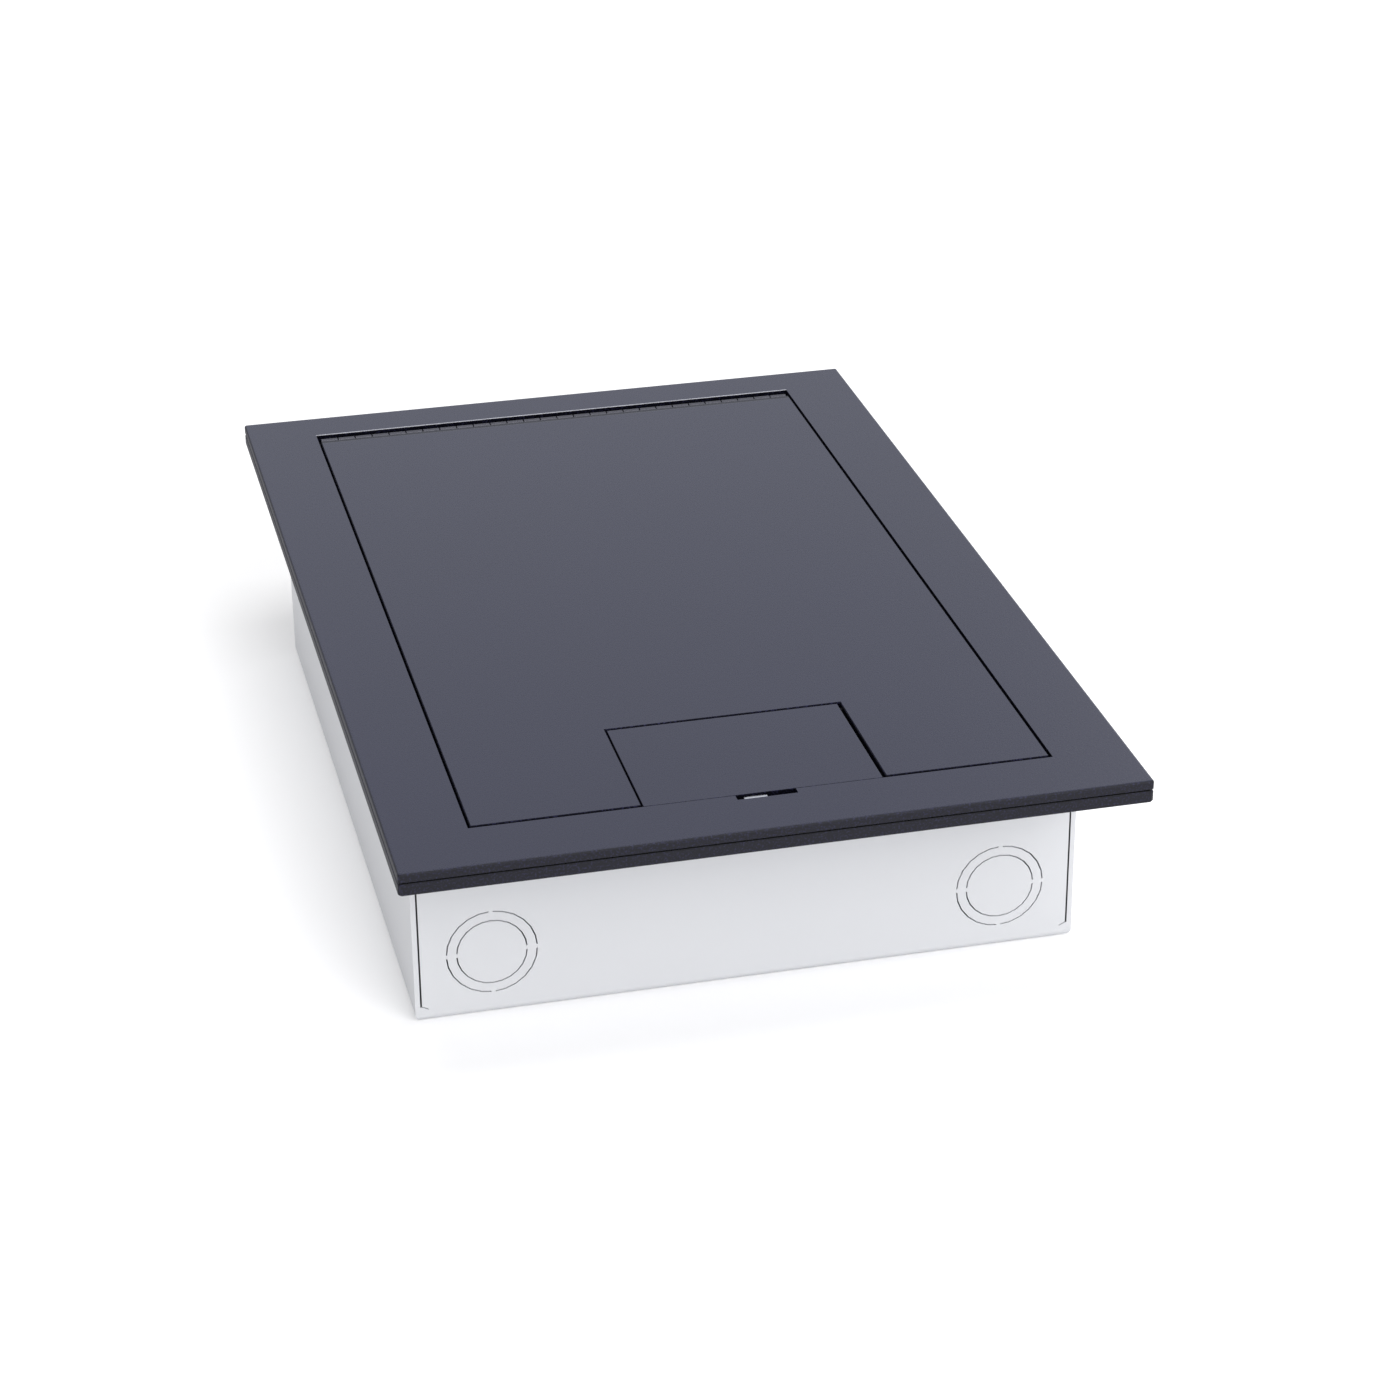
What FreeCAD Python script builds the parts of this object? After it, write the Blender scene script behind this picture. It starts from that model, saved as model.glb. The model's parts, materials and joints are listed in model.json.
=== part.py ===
# Floor socket box: a folded steel tub under a flange of two steel plates, closed by a lid on
# a piano hinge, with a cable flap let into the lid and a sliding latch that locks the flap.
# Inside are a twin switched socket outlet and a plate of four data modules on one carrier.
#
# Millimetres. X runs across the box, Y from the cable flap to the lid's hinge, and Z up.
# The origin is on the underside of the tub, below the centre of the flange.

import FreeCAD
import Part
import Sketcher
import math
import os
import re

from FreeCAD import Vector

SIZES = {
    # Flange: a trim plate on a base plate of the same outline
    "flange_width": 215.0,
    "flange_length": 330.0,
    "flange_corner": 0.8,
    "plate": 3.2,
    "base_plate": 3.7,
    "plate_edge": 0.4,
    # Opening for the lid in the trim plate, and the ledge of the base plate inside it
    "side_border": 23.0,
    "front_border": 21.0,
    "back_border": 16.0,
    "side_ledge": 5.5,
    "front_ledge": 22.0,
    "back_ledge": 27.0,
    "pad_width": 3.6,
    "pad_length": 20.0,
    "pad_depth": 1.2,
    "pad_pitch": 140.0,
    "front_pad_pitch": 120.0,
    # Tub, folded from one sheet
    "side_overhang": 8.5,
    "end_overhang": 39.0,
    "tub_depth": 64.5,
    "sheet": 1.5,
    "bend": 1.0,
    "corner_slit": 0.35,
    "slit_foot": 5.0,
    "relief_reach": 2.0,
    "relief_drop": 1.0,
    "tab_reach": 11.0,
    "tab_length": 22.0,
    "tab_pitch": 160.0,
    "base_hole": 6.5,
    "base_hole_across": 120.0,
    "base_hole_along": 200.0,
    # Conduit knock-outs in the end walls: two rings of slits round one centre
    "knockout_inset": 22.9,
    "knockout_height": 20.5,
    "large_ring": 26.5,
    "small_ring": 20.5,
    "ring_slit": 0.4,
    "bridge": 1.2,
    # Lid and its piano hinge
    "lid_gap": 0.8,
    "lid_front_gap": 1.0,
    "lid_edge": 0.25,
    "hinge_setback": 3.55,
    "hinge_leaf": 0.8,
    "hinge_pin": 2.0,
    "hinge_end_gap": 0.3,
    "leaf_width": 14.5,
    "knuckle_pairs": 14,
    "knuckle_play": 0.4,
    "knuckle_gap": 0.3,
    "curl_gap": 0.25,
    "leaf_pocket": 2.0,
    "leaf_play": 0.4,
    "leaf_screw_inset": 8.4,
    # Cable flap in a notch of the lid, on two pivot pins
    "notch_width": 70.8,
    "notch_length": 47.7,
    "flap_gap": 0.8,
    "flap_seam": 0.15,
    "pivot_pin": 1.6,
    "pivot_reach": 4.5,
    # Latch under the front border, and the keeper that it holds under the flap
    "slot_length": 17.5,
    "slot_width": 2.6,
    "latch_sheet": 1.2,
    "latch_play": 0.15,
    "latch_length": 24.0,
    "latch_width": 7.7,
    "latch_centre": -3.1,
    "latch_travel": 8.0,
    "latch_tab": 6.6,
    "latch_tab_setback": 0.4,
    "latch_tab_recess": 0.6,
    "tongue_length": 4.7,
    "tongue_width": 7.5,
    "tongue_inset": 1.0,
    "keeper_sheet": 0.8,
    "keeper_width": 7.0,
    "keeper_foot": 4.5,
    "keeper_gap": 0.6,
    # Fits and fasteners
    "running_fit": 0.05,
    "seat_fit": 0.02,
    "hole_play": 0.2,
    "screw": 4.0,
    "screw_bite": 2.6,
    "screw_head": 7.6,
    "screw_head_height": 2.2,
    "countersink": 8.0,
    "frame_screw_pitch": 140.0,
    "leaf_screw": 2.5,
    "leaf_screw_head": 4.5,
    "leaf_screw_head_height": 0.9,
    "leaf_screw_bite": 2.2,
    "plate_screw": 3.5,
    "plate_screw_head": 6.6,
    "plate_screw_bite": 4.0,
    "plate_screw_pitch": 120.6,
    "plate_screw_slot": 0.9,
    # Carrier for the two accessory plates, and the divider below it
    "carrier_height": 24.0,
    "carrier_clearance": 1.5,
    "carrier_margin": 2.0,
    "carrier_foot": 12.0,
    "foot_screw_inset": 7.5,
    "aperture_width": 114.0,
    "aperture_length": 60.0,
    "divider_sheet": 1.0,
    "divider_foot": 10.0,
    # Accessory plates: twin socket outlet and data plate
    "accessory_width": 146.0,
    "accessory_length": 86.0,
    "accessory_depth": 7.0,
    "accessory_gap": 1.0,
    "accessory_corner": 5.0,
    "accessory_edge": 1.5,
    "shell_wall": 2.5,
    "boss": 8.0,
    "housing_depth": 20.5,
    "housing_play": 1.0,
    "outlet_pitch": 72.0,
    "pin_spread": 22.2,
    "pin_drop": 22.2,
    "earth_rise": 8.0,
    "line_slot_across": 7.2,
    "line_slot_along": 4.8,
    "earth_slot_across": 4.8,
    "earth_slot_along": 8.8,
    "well_play": 1.2,
    "well_floor": 4.0,
    "shutter_across": 33.0,
    "shutter_along": 9.0,
    "shutter_sheet": 1.8,
    "contact_sheet": 0.8,
    "contact_height": 11.0,
    "contact_grip": 4.2,
    "contact_width": 5.0,
    "terminal": 8.0,
    "terminal_stand": 2.0,
    "terminal_recess": 5.0,
    "terminal_pitch": 34.0,
    # Rocker switches
    "rocker_spread": 19.0,
    "rocker_rise": 14.0,
    "rocker_width": 13.0,
    "rocker_length": 21.0,
    "rocker_crest": 6.6,
    "rocker_valley": 5.4,
    "rocker_skirt": 1.0,
    "rocker_belly": 4.5,
    "rocker_keel": 10.0,
    "rocker_axis_depth": 6.0,
    "rocker_side_play": 0.3,
    "rocker_end_play": 1.0,
    "rocker_axle": 2.4,
    "rocker_axle_reach": 1.6,
    "rocker_tilt": 6.0,
    # Data modules
    "module_width": 25.0,
    "module_length": 50.0,
    "module_play": 0.1,
    "module_back_width": 20.0,
    "module_back_length": 30.0,
    "module_depth": 15.5,
    "module_lug_width": 8.0,
    "module_lug_reach": 1.2,
    "module_lug_height": 1.2,
    "port_across": 11.8,
    "port_along": 7.0,
    "port_depth": 14.0,
    "port_key_across": 6.0,
    "port_key_along": 2.4,
    # Earth terminal
    "earth_inset": 17.5,
    "earth_clearance": 21.0,
    "earth_stud": 5.0,
    "earth_stud_height": 14.0,
    "earth_nut": 8.0,
    "earth_nut_height": 4.0,
    "earth_washer": 10.0,
    "earth_washer_height": 1.0,
}

# Places that several pieces share, as expressions on the sizes.
OPEN_X = "(flange_width / 2 - side_border)"
OPEN_FRONT = "(front_border - flange_length / 2)"
OPEN_BACK = "(flange_length / 2 - back_border)"
LEDGE_X = f"({OPEN_X} - side_ledge)"
LEDGE_FRONT = f"({OPEN_FRONT} + front_ledge)"
LEDGE_BACK = f"({OPEN_BACK} - back_ledge)"
TUB_X = "(flange_width / 2 - side_overhang)"
TUB_Y = "(flange_length / 2 - end_overhang)"
SEAM = "(tub_depth + base_plate)"
TOP = f"({SEAM} + plate)"

LID_X = f"({OPEN_X} - lid_gap)"
LID_FRONT = f"({OPEN_FRONT} + lid_front_gap)"
AXIS_Y = f"({OPEN_BACK} - hinge_setback)"
KNUCKLE = "(hinge_pin / 2 + running_fit + hinge_leaf)"
AXIS_Z = f"({SEAM} - hinge_leaf + {KNUCKLE})"
BARREL_ROOM = f"({KNUCKLE} + knuckle_gap)"
LID_BACK = f"({AXIS_Y} - {BARREL_ROOM})"
HINGE_X = f"({LID_X} - hinge_end_gap)"
PITCH = f"({HINGE_X} / knuckle_pairs)"

NOTCH_X = "(notch_width / 2)"
NOTCH_BACK = f"({LID_FRONT} + notch_length)"
FLAP_X = f"({NOTCH_X} - flap_gap)"
FLAP_FRONT = f"({OPEN_FRONT} + flap_seam)"
FLAP_BACK = f"({NOTCH_BACK} - flap_gap)"
PIVOT_Y = f"({FLAP_BACK} - plate / 2)"
PIVOT_Z = f"({SEAM} + plate / 2)"

LATCH_TOP = f"({SEAM} - latch_play)"
LATCH_FLOOR = f"({LATCH_TOP} - latch_sheet)"
LATCH_LEFT = "(latch_centre - latch_length / 2)"
LATCH_RIGHT = "(latch_centre + latch_length / 2)"
LATCH_BACK = f"({OPEN_FRONT} - 2 * latch_play)"
LATCH_FRONT = f"({LATCH_BACK} - latch_width)"
TONGUE_LEFT = f"({LATCH_LEFT} + tongue_inset)"
TONGUE_RIGHT = f"({TONGUE_LEFT} + tongue_width)"
TONGUE_BACK = f"({OPEN_FRONT} + tongue_length)"
KEEPER_LEFT = f"({TONGUE_RIGHT} + keeper_gap)"
KEEPER_RIGHT = f"({KEEPER_LEFT} + keeper_width)"
KEEPER_BACK = f"({TONGUE_BACK} + keeper_gap + keeper_sheet)"
KEEPER_TOP = f"({LATCH_FLOOR} - latch_play)"
KEEPER_FLOOR = f"({KEEPER_TOP} - keeper_sheet)"

CARRIER_X = f"({TUB_X} - sheet - carrier_clearance)"
CARRIER_BACK = f"({TUB_Y} - sheet - carrier_clearance)"
POWER_Y = f"({CARRIER_BACK} - carrier_margin - accessory_length / 2)"
DATA_Y = f"({POWER_Y} - accessory_length - accessory_gap)"
CARRIER_FRONT = f"({DATA_Y} - accessory_length / 2 - carrier_margin)"
DIVIDE_Y = f"({POWER_Y} - accessory_length / 2 - accessory_gap / 2)"
FACE = "(carrier_height + accessory_depth)"
SHELL_ROOF = f"({FACE} - shell_wall)"
HOUSING_FLOOR = f"({SHELL_ROOF} - housing_depth)"
HOUSING_X = "(aperture_width / 2 - housing_play)"
HOUSING_Y = "(aperture_length / 2 - housing_play)"
SHUTTER_FLOOR = f"({SHELL_ROOF} - housing_play - shutter_sheet)"
ROCKER_Y = f"({POWER_Y} + rocker_rise)"
ROCKER_Z = f"({FACE} - rocker_axis_depth)"

# Places of screws, pads and holes: the first X and Y of a grid, its spans and its counts.
FRAME_ROW = f"({OPEN_FRONT} - front_border / 2)"
FRAME_SPAN = f"({OPEN_BACK} + back_border / 2 - {FRAME_ROW})"
FRAME_GRID = ("(-frame_screw_pitch / 2)", FRAME_ROW, "frame_screw_pitch", 2, FRAME_SPAN, 2)
TAB_X = f"({TUB_X} - sheet - tab_reach / 2)"
TAB_GRID = (f"(-{TAB_X})", "(-tab_pitch / 2)", f"2 * {TAB_X}", 2, "tab_pitch", 2)
BASE_X = "(-base_hole_across / 2)"
BASE_GRID = (BASE_X, "(-base_hole_along / 2)", "base_hole_across", 2, "base_hole_along", 2)
FOOT_X = f"({CARRIER_X} - foot_screw_inset)"
FOOT_GRID = (f"(-{FOOT_X})", DATA_Y, f"2 * {FOOT_X}", 2, "0", 1)
POWER_GRID = ("(-plate_screw_pitch / 2)", POWER_Y, "plate_screw_pitch", 2, "0", 1)
DATA_GRID = ("(-plate_screw_pitch / 2)", DATA_Y, "plate_screw_pitch", 2, "0", 1)
LEAF_SCREW_X = f"({HINGE_X} - leaf_screw_inset)"
LEAF_SCREW_Y = f"({AXIS_Y} - {BARREL_ROOM} / 2 - leaf_width / 2)"
LEAF_GRID = (f"(-{LEAF_SCREW_X})", LEAF_SCREW_Y, f"2 * {LEAF_SCREW_X}", 4, "0", 1)
PAD_X = f"(({OPEN_X} + {LEDGE_X} - lid_gap) / 2)"
STUD_X = f"(earth_inset + sheet - {TUB_X})"
STUD_Y = f"({CARRIER_FRONT} - earth_clearance)"

# Each outlet has line and neutral pins in a row, and its earth pin above the middle of it.
OUTLETS = [f"({side} * outlet_pitch / 2)" for side in (-1, 1)]
LINE_Y = f"({POWER_Y} + earth_rise - pin_drop)"
EARTH_Y = f"({POWER_Y} + earth_rise)"
LINE_PINS = [(f"({x} + {side} * pin_spread / 2)", LINE_Y) for x in OUTLETS for side in (-1, 1)]
EARTH_PINS = [(x, EARTH_Y) for x in OUTLETS]

doc = FreeCAD.newDocument("FloorSocketBox")
sheet = doc.addObject("Spreadsheet::Sheet", "Sizes")
for row, (alias, value) in enumerate(SIZES.items(), start=1):
    sheet.set(f"A{row}", alias)
    sheet.set(f"B{row}", str(value))
    sheet.setAlias(f"B{row}", alias)
doc.recompute()


def named(expression):
    """Point every size in an expression at its cell of the sheet."""
    return re.sub(r"\b([a-z][a-z_0-9]*)\b", r"Sizes.\1", expression)


def size(expression):
    """The value of an expression on the sizes."""
    return float(sheet.evalExpression(named(expression)))


def bind(sketch, constraint, expression):
    """Add a constraint whose value follows an expression."""
    index = sketch.addConstraint(constraint)
    sketch.setExpression(f"Constraints[{index}]", named(expression))


def circle(x, y, radius):
    """Outline: a circle."""

    def draw(sketch):
        centre = Vector(size(x), size(y), 0)
        curve = sketch.addGeometry(Part.Circle(centre, Vector(0, 0, 1), size(radius)))
        bind(sketch, Sketcher.Constraint("DistanceX", -1, 1, curve, 3, centre.x), x)
        bind(sketch, Sketcher.Constraint("DistanceY", -1, 1, curve, 3, centre.y), y)
        bind(sketch, Sketcher.Constraint("Radius", curve, size(radius)), radius)

    return draw


def polygon(*corners):
    """Outline: straight lines from corner to corner, closed."""

    def draw(sketch):
        count = len(corners)
        first = sketch.GeometryCount
        points = [Vector(size(x), size(y), 0) for x, y in corners]
        for index in range(count):
            sketch.addGeometry(Part.LineSegment(points[index], points[(index + 1) % count]))
        for index, (x, y) in enumerate(corners):
            line = first + index
            following = first + (index + 1) % count
            sketch.addConstraint(Sketcher.Constraint("Coincident", line, 2, following, 1))
            bind(sketch, Sketcher.Constraint("DistanceX", -1, 1, line, 1, points[index].x), x)
            bind(sketch, Sketcher.Constraint("DistanceY", -1, 1, line, 1, points[index].y), y)

    return draw


def rectangle(left, right, low, high):
    """Outline: a rectangle between four expressions."""
    return polygon((left, low), (right, low), (right, high), (left, high))


def centred(x, y, across, along):
    """Outline: a rectangle round a centre."""
    return rectangle(
        f"{x} - {across} / 2", f"{x} + {across} / 2", f"{y} - {along} / 2", f"{y} + {along} / 2"
    )


def regular(x, y, radius, sides=8):
    """Outline: a regular polygon round a centre, out to its corners.

    Small repeated rounds are drawn with a few sides, which keeps their facets few.
    """
    corners = []
    for turn in range(sides):
        angle = 2 * math.pi * turn / sides
        corners.append(
            (f"{x} + {math.cos(angle):.6f} * ({radius})", f"{y} + {math.sin(angle):.6f} * ({radius})")
        )
    return polygon(*corners)


def to_corner(flats, sides):
    """From a polygon's half width across its flats to its corner radius."""
    return f"(({flats}) / {math.cos(math.pi / sides):.6f})"


pieces = []


class Piece:
    """One sub-part: a body whose sketches lie on its own origin planes.

    Every pad and cut fills the stretch from a low level up to low + height, along the axis
    that the sketch's plane faces: Z for XY_Plane, X for YZ_Plane and Y for XZ_Plane.
    """

    def __init__(self, label):
        self.body = doc.addObject("PartDesign::Body", label)
        self.body.Label = label
        self.label = label
        pieces.append(self.body)

    def origin(self, role):
        return next(item for item in self.body.Origin.OriginFeatures if item.Role == role)

    def sketch(self, plane, level, outlines):
        sketch = self.body.newObject("Sketcher::SketchObject", f"{self.label}_sketch")
        sketch.AttachmentSupport = [(self.origin(plane), "")]
        sketch.MapMode = "FlatFace"
        offset = f"-({level})" if plane == "XZ_Plane" else level
        sketch.setExpression("AttachmentOffset.Base.z", named(offset))
        for draw in outlines:
            draw(sketch)
        return sketch

    def feature(self, kind, plane, low, height, outlines, taper):
        sketch = self.sketch(plane, low, outlines)
        item = self.body.newObject(f"PartDesign::{kind}", f"{self.label}_{kind.lower()}")
        item.Profile = sketch
        item.setExpression("Length", named(height))
        item.Reversed = (plane == "XZ_Plane") == (kind == "Pad")
        if taper:
            item.TaperAngle = taper
        return item

    def pad(self, low, height, *outlines, plane="XY_Plane", taper=0):
        return self.feature("Pad", plane, low, height, outlines, taper)

    def cut(self, low, height, *outlines, plane="XY_Plane", taper=0):
        doc.recompute()
        before = self.body.Tip.Shape.Volume
        item = self.feature("Pocket", plane, low, height, outlines, taper)
        doc.recompute()
        if not item.Shape.Volume < before:
            raise ValueError(f"{self.label}: a cut removed nothing")
        return item

    def repeat(self, originals, length, count):
        """Repeat features in a row along X."""
        row = self.body.newObject("PartDesign::LinearPattern", f"{self.label}_row")
        row.Originals = originals
        self.line_up(row, "X_Axis", length, count)
        self.body.Tip = row
        return row

    def line_up(self, row, axis, length, count):
        row.Direction = (self.origin(axis), [""])
        row.setExpression("Length", named(length))
        row.setExpression("Occurrences", named(str(count)))

    def spread(self, originals, grid):
        """Repeat features over a grid along X and Y."""
        _, _, x_span, x_count, y_span, y_count = grid
        if y_count == 1:
            return self.repeat(originals, x_span, x_count)
        field = self.body.newObject("PartDesign::MultiTransform", f"{self.label}_grid")
        field.Originals = originals
        rows = []
        for axis, span, count in (("X_Axis", x_span, x_count), ("Y_Axis", y_span, y_count)):
            row = self.body.newObject("PartDesign::LinearPattern", f"{self.label}_line")
            self.line_up(row, axis, span, count)
            rows.append(row)
        field.Transformations = rows
        self.body.Tip = field
        return field

    def drill(self, low, height, radius, grid, sides=8):
        """Cut small round holes over a grid."""
        hole = self.cut(low, height, regular(grid[0], grid[1], radius, sides))
        return self.spread([hole], grid)

    def round(self, radius, chosen):
        """Round the edges that a test on their bounding box picks."""
        return self.dress("Fillet", "Radius", radius, chosen)

    def bevel(self, width, chosen):
        """Bevel the edges that a test on their bounding box picks."""
        return self.dress("Chamfer", "Size", width, chosen)

    def dress(self, kind, property_name, value, chosen):
        doc.recompute()
        tip = self.body.Tip
        names = [
            f"Edge{index}"
            for index, edge in enumerate(tip.Shape.Edges, start=1)
            if chosen(edge.BoundBox)
        ]
        if not names:
            raise ValueError(f"{self.label}: no edge to dress")
        item = self.body.newObject(f"PartDesign::{kind}", f"{self.label}_{kind.lower()}")
        item.Base = (tip, names)
        item.setExpression(property_name, named(value))
        return item


def at(low, high, expression):
    """True where a stretch lies wholly at one value."""
    return abs(low - size(expression)) < 1e-4 and abs(high - size(expression)) < 1e-4


def upright(box):
    """Test for edges that run along Z alone."""
    return box.XLength < 1e-4 and box.YLength < 1e-4


def flange_plate(label, low, thickness):
    """The outline that both flange plates share."""
    piece = Piece(label)
    half_x = "flange_width / 2"
    half_y = "flange_length / 2"
    piece.pad(low, thickness, rectangle(f"-{half_x}", half_x, f"-{half_y}", half_y))
    piece.bevel("flange_corner", upright)
    for level in (low, f"{low} + {thickness}"):
        piece.bevel("plate_edge", lambda box, level=level: at(box.ZMin, box.ZMax, level))
    return piece


def trim_frame():
    piece = flange_plate("trim_frame", SEAM, "plate")
    piece.cut(SEAM, "plate", rectangle(f"-{OPEN_X}", OPEN_X, OPEN_FRONT, OPEN_BACK))
    piece.bevel(
        "plate_edge",
        lambda box: at(box.ZMin, box.ZMax, TOP) and at(box.YMin, box.YMax, OPEN_BACK),
    )
    slot_front = f"{OPEN_FRONT} - slot_width"
    piece.cut(SEAM, "plate", rectangle("-slot_length / 2", "slot_length / 2", slot_front, OPEN_FRONT))
    for grid in (FRAME_GRID, TAB_GRID):
        piece.drill(SEAM, "screw_bite + hole_play", "screw / 2 + seat_fit", grid)


def base_frame():
    piece = flange_plate("base_frame", "tub_depth", "base_plate")
    piece.cut("tub_depth", "base_plate", rectangle(f"-{LEDGE_X}", LEDGE_X, LEDGE_FRONT, LEDGE_BACK))
    half = f"({HINGE_X} + leaf_play)"
    piece.cut(
        f"{SEAM} - hinge_leaf",
        "hinge_leaf",
        rectangle(f"-{half}", half, AXIS_Y, f"{AXIS_Y} + leaf_width + leaf_play"),
    )
    piece.cut(
        f"{SEAM} - leaf_pocket",
        "leaf_pocket",
        rectangle(f"-{half}", half, f"{AXIS_Y} - leaf_width - leaf_play", f"{AXIS_Y} + {BARREL_ROOM}"),
    )
    latch_pockets(piece)
    for grid in (FRAME_GRID, TAB_GRID):
        piece.drill("tub_depth", "base_plate", "screw / 2 + hole_play", grid)
    sink = piece.cut(
        "tub_depth",
        "(countersink - screw) / 2",
        regular(FRAME_GRID[0], FRAME_GRID[1], "countersink / 2 + seat_fit"),
        taper=-45,
    )
    piece.spread([sink], FRAME_GRID)
    piece.cut(f"{SEAM} - pad_depth", "pad_depth", *pad_outlines("seat_fit"))


def pad_outlines(play):
    """The six pads on the ledge: two along each side and two along the front."""
    wide = f"(pad_width + 2 * {play})"
    long = f"(pad_length + 2 * {play})"
    outlines = [
        centred(f"{side} * {PAD_X}", f"{row} * pad_pitch / 2", wide, long)
        for side in (-1, 1)
        for row in (-1, 1)
    ]
    middle = f"({OPEN_FRONT} + front_ledge / 2)"
    outlines += [centred(f"{side} * front_pad_pitch / 2", middle, long, wide) for side in (-1, 1)]
    return outlines


def latch_pockets(piece):
    """Room in the base plate for the latch, its tongue and the keeper below the flap."""
    depth = "(latch_sheet + 2 * latch_play)"
    play = "2 * latch_play"
    slide = rectangle(
        f"{LATCH_LEFT} - {play}",
        f"{LATCH_RIGHT} + latch_travel + {play}",
        f"{LATCH_FRONT} - {play}",
        OPEN_FRONT,
    )
    tongue = rectangle(
        f"{TONGUE_LEFT} - {play}",
        f"{TONGUE_RIGHT} + latch_travel + {play}",
        OPEN_FRONT,
        f"{TONGUE_BACK} + keeper_gap / 2",
    )
    keeper = rectangle(
        f"{KEEPER_LEFT} - keeper_gap / 2",
        f"{KEEPER_RIGHT} + keeper_gap / 2",
        f"{KEEPER_BACK} - keeper_foot - keeper_gap",
        f"{KEEPER_BACK} + keeper_gap",
    )
    piece.cut(f"{SEAM} - {depth}", depth, slide)
    piece.cut(f"{SEAM} - {depth}", depth, tongue)
    piece.cut(f"{KEEPER_FLOOR} - {play}", f"{SEAM} - {KEEPER_FLOOR} + {play}", keeper)


def latch_slide():
    piece = Piece("latch_slide")
    plan = polygon(
        (LATCH_LEFT, LATCH_FRONT),
        (LATCH_RIGHT, LATCH_FRONT),
        (LATCH_RIGHT, LATCH_BACK),
        (TONGUE_RIGHT, LATCH_BACK),
        (TONGUE_RIGHT, TONGUE_BACK),
        (TONGUE_LEFT, TONGUE_BACK),
        (TONGUE_LEFT, LATCH_BACK),
        (LATCH_LEFT, LATCH_BACK),
    )
    piece.pad(LATCH_FLOOR, "latch_sheet", plan)
    tab_back = f"({OPEN_FRONT} - latch_tab_setback)"
    piece.pad(
        LATCH_TOP,
        f"{TOP} - latch_tab_recess - {LATCH_TOP}",
        rectangle(
            "latch_centre - latch_tab / 2",
            "latch_centre + latch_tab / 2",
            f"{tab_back} - latch_sheet",
            tab_back,
        ),
    )


def flap_keeper():
    """An L-shaped clip welded below the flap, whose foot the latch's tongue covers."""
    piece = Piece("flap_keeper")
    front = f"{KEEPER_BACK} - keeper_foot"
    web = f"{KEEPER_BACK} - keeper_sheet"
    piece.pad(
        KEEPER_LEFT,
        "keeper_width",
        polygon(
            (front, KEEPER_FLOOR),
            (KEEPER_BACK, KEEPER_FLOOR),
            (KEEPER_BACK, SEAM),
            (web, SEAM),
            (web, KEEPER_TOP),
            (front, KEEPER_TOP),
        ),
        plane="YZ_Plane",
    )


def ledge_pads():
    piece = Piece("ledge_pads")
    piece.pad(f"{SEAM} - pad_depth", "pad_depth", *pad_outlines("0"))


def tub():
    piece = Piece("tub")
    inner_x = f"({TUB_X} - sheet)"
    inner_y = f"({TUB_Y} - sheet)"
    piece.pad("0", "tub_depth", rectangle(f"-{TUB_X}", TUB_X, f"-{TUB_Y}", TUB_Y))
    piece.round("bend + sheet", lambda box: at(box.ZMin, box.ZMax, "0"))
    piece.cut("sheet", "tub_depth - sheet", rectangle(f"-{inner_x}", inner_x, f"-{inner_y}", inner_y))
    piece.round("bend", lambda box: at(box.ZMin, box.ZMax, "sheet"))
    tub_corners(piece, inner_x)
    tub_tabs(piece, inner_x)
    knockouts(piece)
    fixing = piece.cut("0", "sheet", circle(BASE_GRID[0], BASE_GRID[1], "base_hole / 2"))
    piece.spread([fixing], BASE_GRID)
    piece.drill("0", "sheet", "screw / 2 + seat_fit", FOOT_GRID)


def tub_corners(piece, inner_x):
    """The end walls stand between the side walls, so each corner is a slit with a relief."""
    slit = f"({inner_x} - corner_slit)"
    profile = [
        (inner_x, "tub_depth"),
        (inner_x, "slit_foot"),
        (slit, "slit_foot"),
        (f"{slit} - relief_reach", "slit_foot - relief_drop"),
        (f"{slit} - relief_reach", "slit_foot - relief_drop + corner_slit"),
        (slit, "slit_foot + corner_slit"),
        (slit, "tub_depth"),
    ]
    left = [(f"-({x})", y) for x, y in reversed(profile)]
    for wall in (f"-{TUB_Y}", f"{TUB_Y} - sheet"):
        piece.cut(wall, "sheet", polygon(*profile), polygon(*left), plane="XZ_Plane")


def tub_tabs(piece, inner_x):
    """Tabs turned in from the side walls, screwed to the flange."""
    reach = "(tab_reach + bend)"
    middle = f"({inner_x} - tab_reach / 2 + bend / 2)"
    tabs = [
        centred(f"{side} * {middle}", f"{row} * tab_pitch / 2", reach, "tab_length")
        for side in (-1, 1)
        for row in (-1, 1)
    ]
    piece.pad("tub_depth - sheet", "sheet", *tabs)
    piece.drill("tub_depth - sheet", "sheet", "screw / 2 + hole_play", TAB_GRID)


def knockouts(piece):
    """Conduit knock-outs in the end walls: rings of slits, with bridges left across them."""
    x = f"(knockout_inset - {TUB_X})"
    z = "knockout_height"
    wall = f"-{TUB_Y}"
    rings = []
    bridges = []
    for ring in ("large_ring", "small_ring"):
        rings.append(regular(x, z, f"({ring} + ring_slit) / 2", 24))
        rings.append(regular(x, z, f"({ring} - ring_slit) / 2", 24))
        for turn in (-1, 1):
            bridges.append(centred(f"({x} + {turn} * {ring} / 2)", z, "2 * ring_slit", "bridge"))
    for turn in (-1, 1):
        bridges.append(centred(x, f"({z} + {turn} * large_ring / 2)", "bridge", "2 * ring_slit"))
    slits = piece.cut(wall, "sheet", *rings, plane="XZ_Plane")
    held = piece.pad(wall, "sheet", *bridges, plane="XZ_Plane")
    across = f"2 * ({TUB_X} - knockout_inset)"
    piece.spread([slits, held], (x, wall, across, 2, f"(2 * {TUB_Y} - sheet)", 2))


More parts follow.
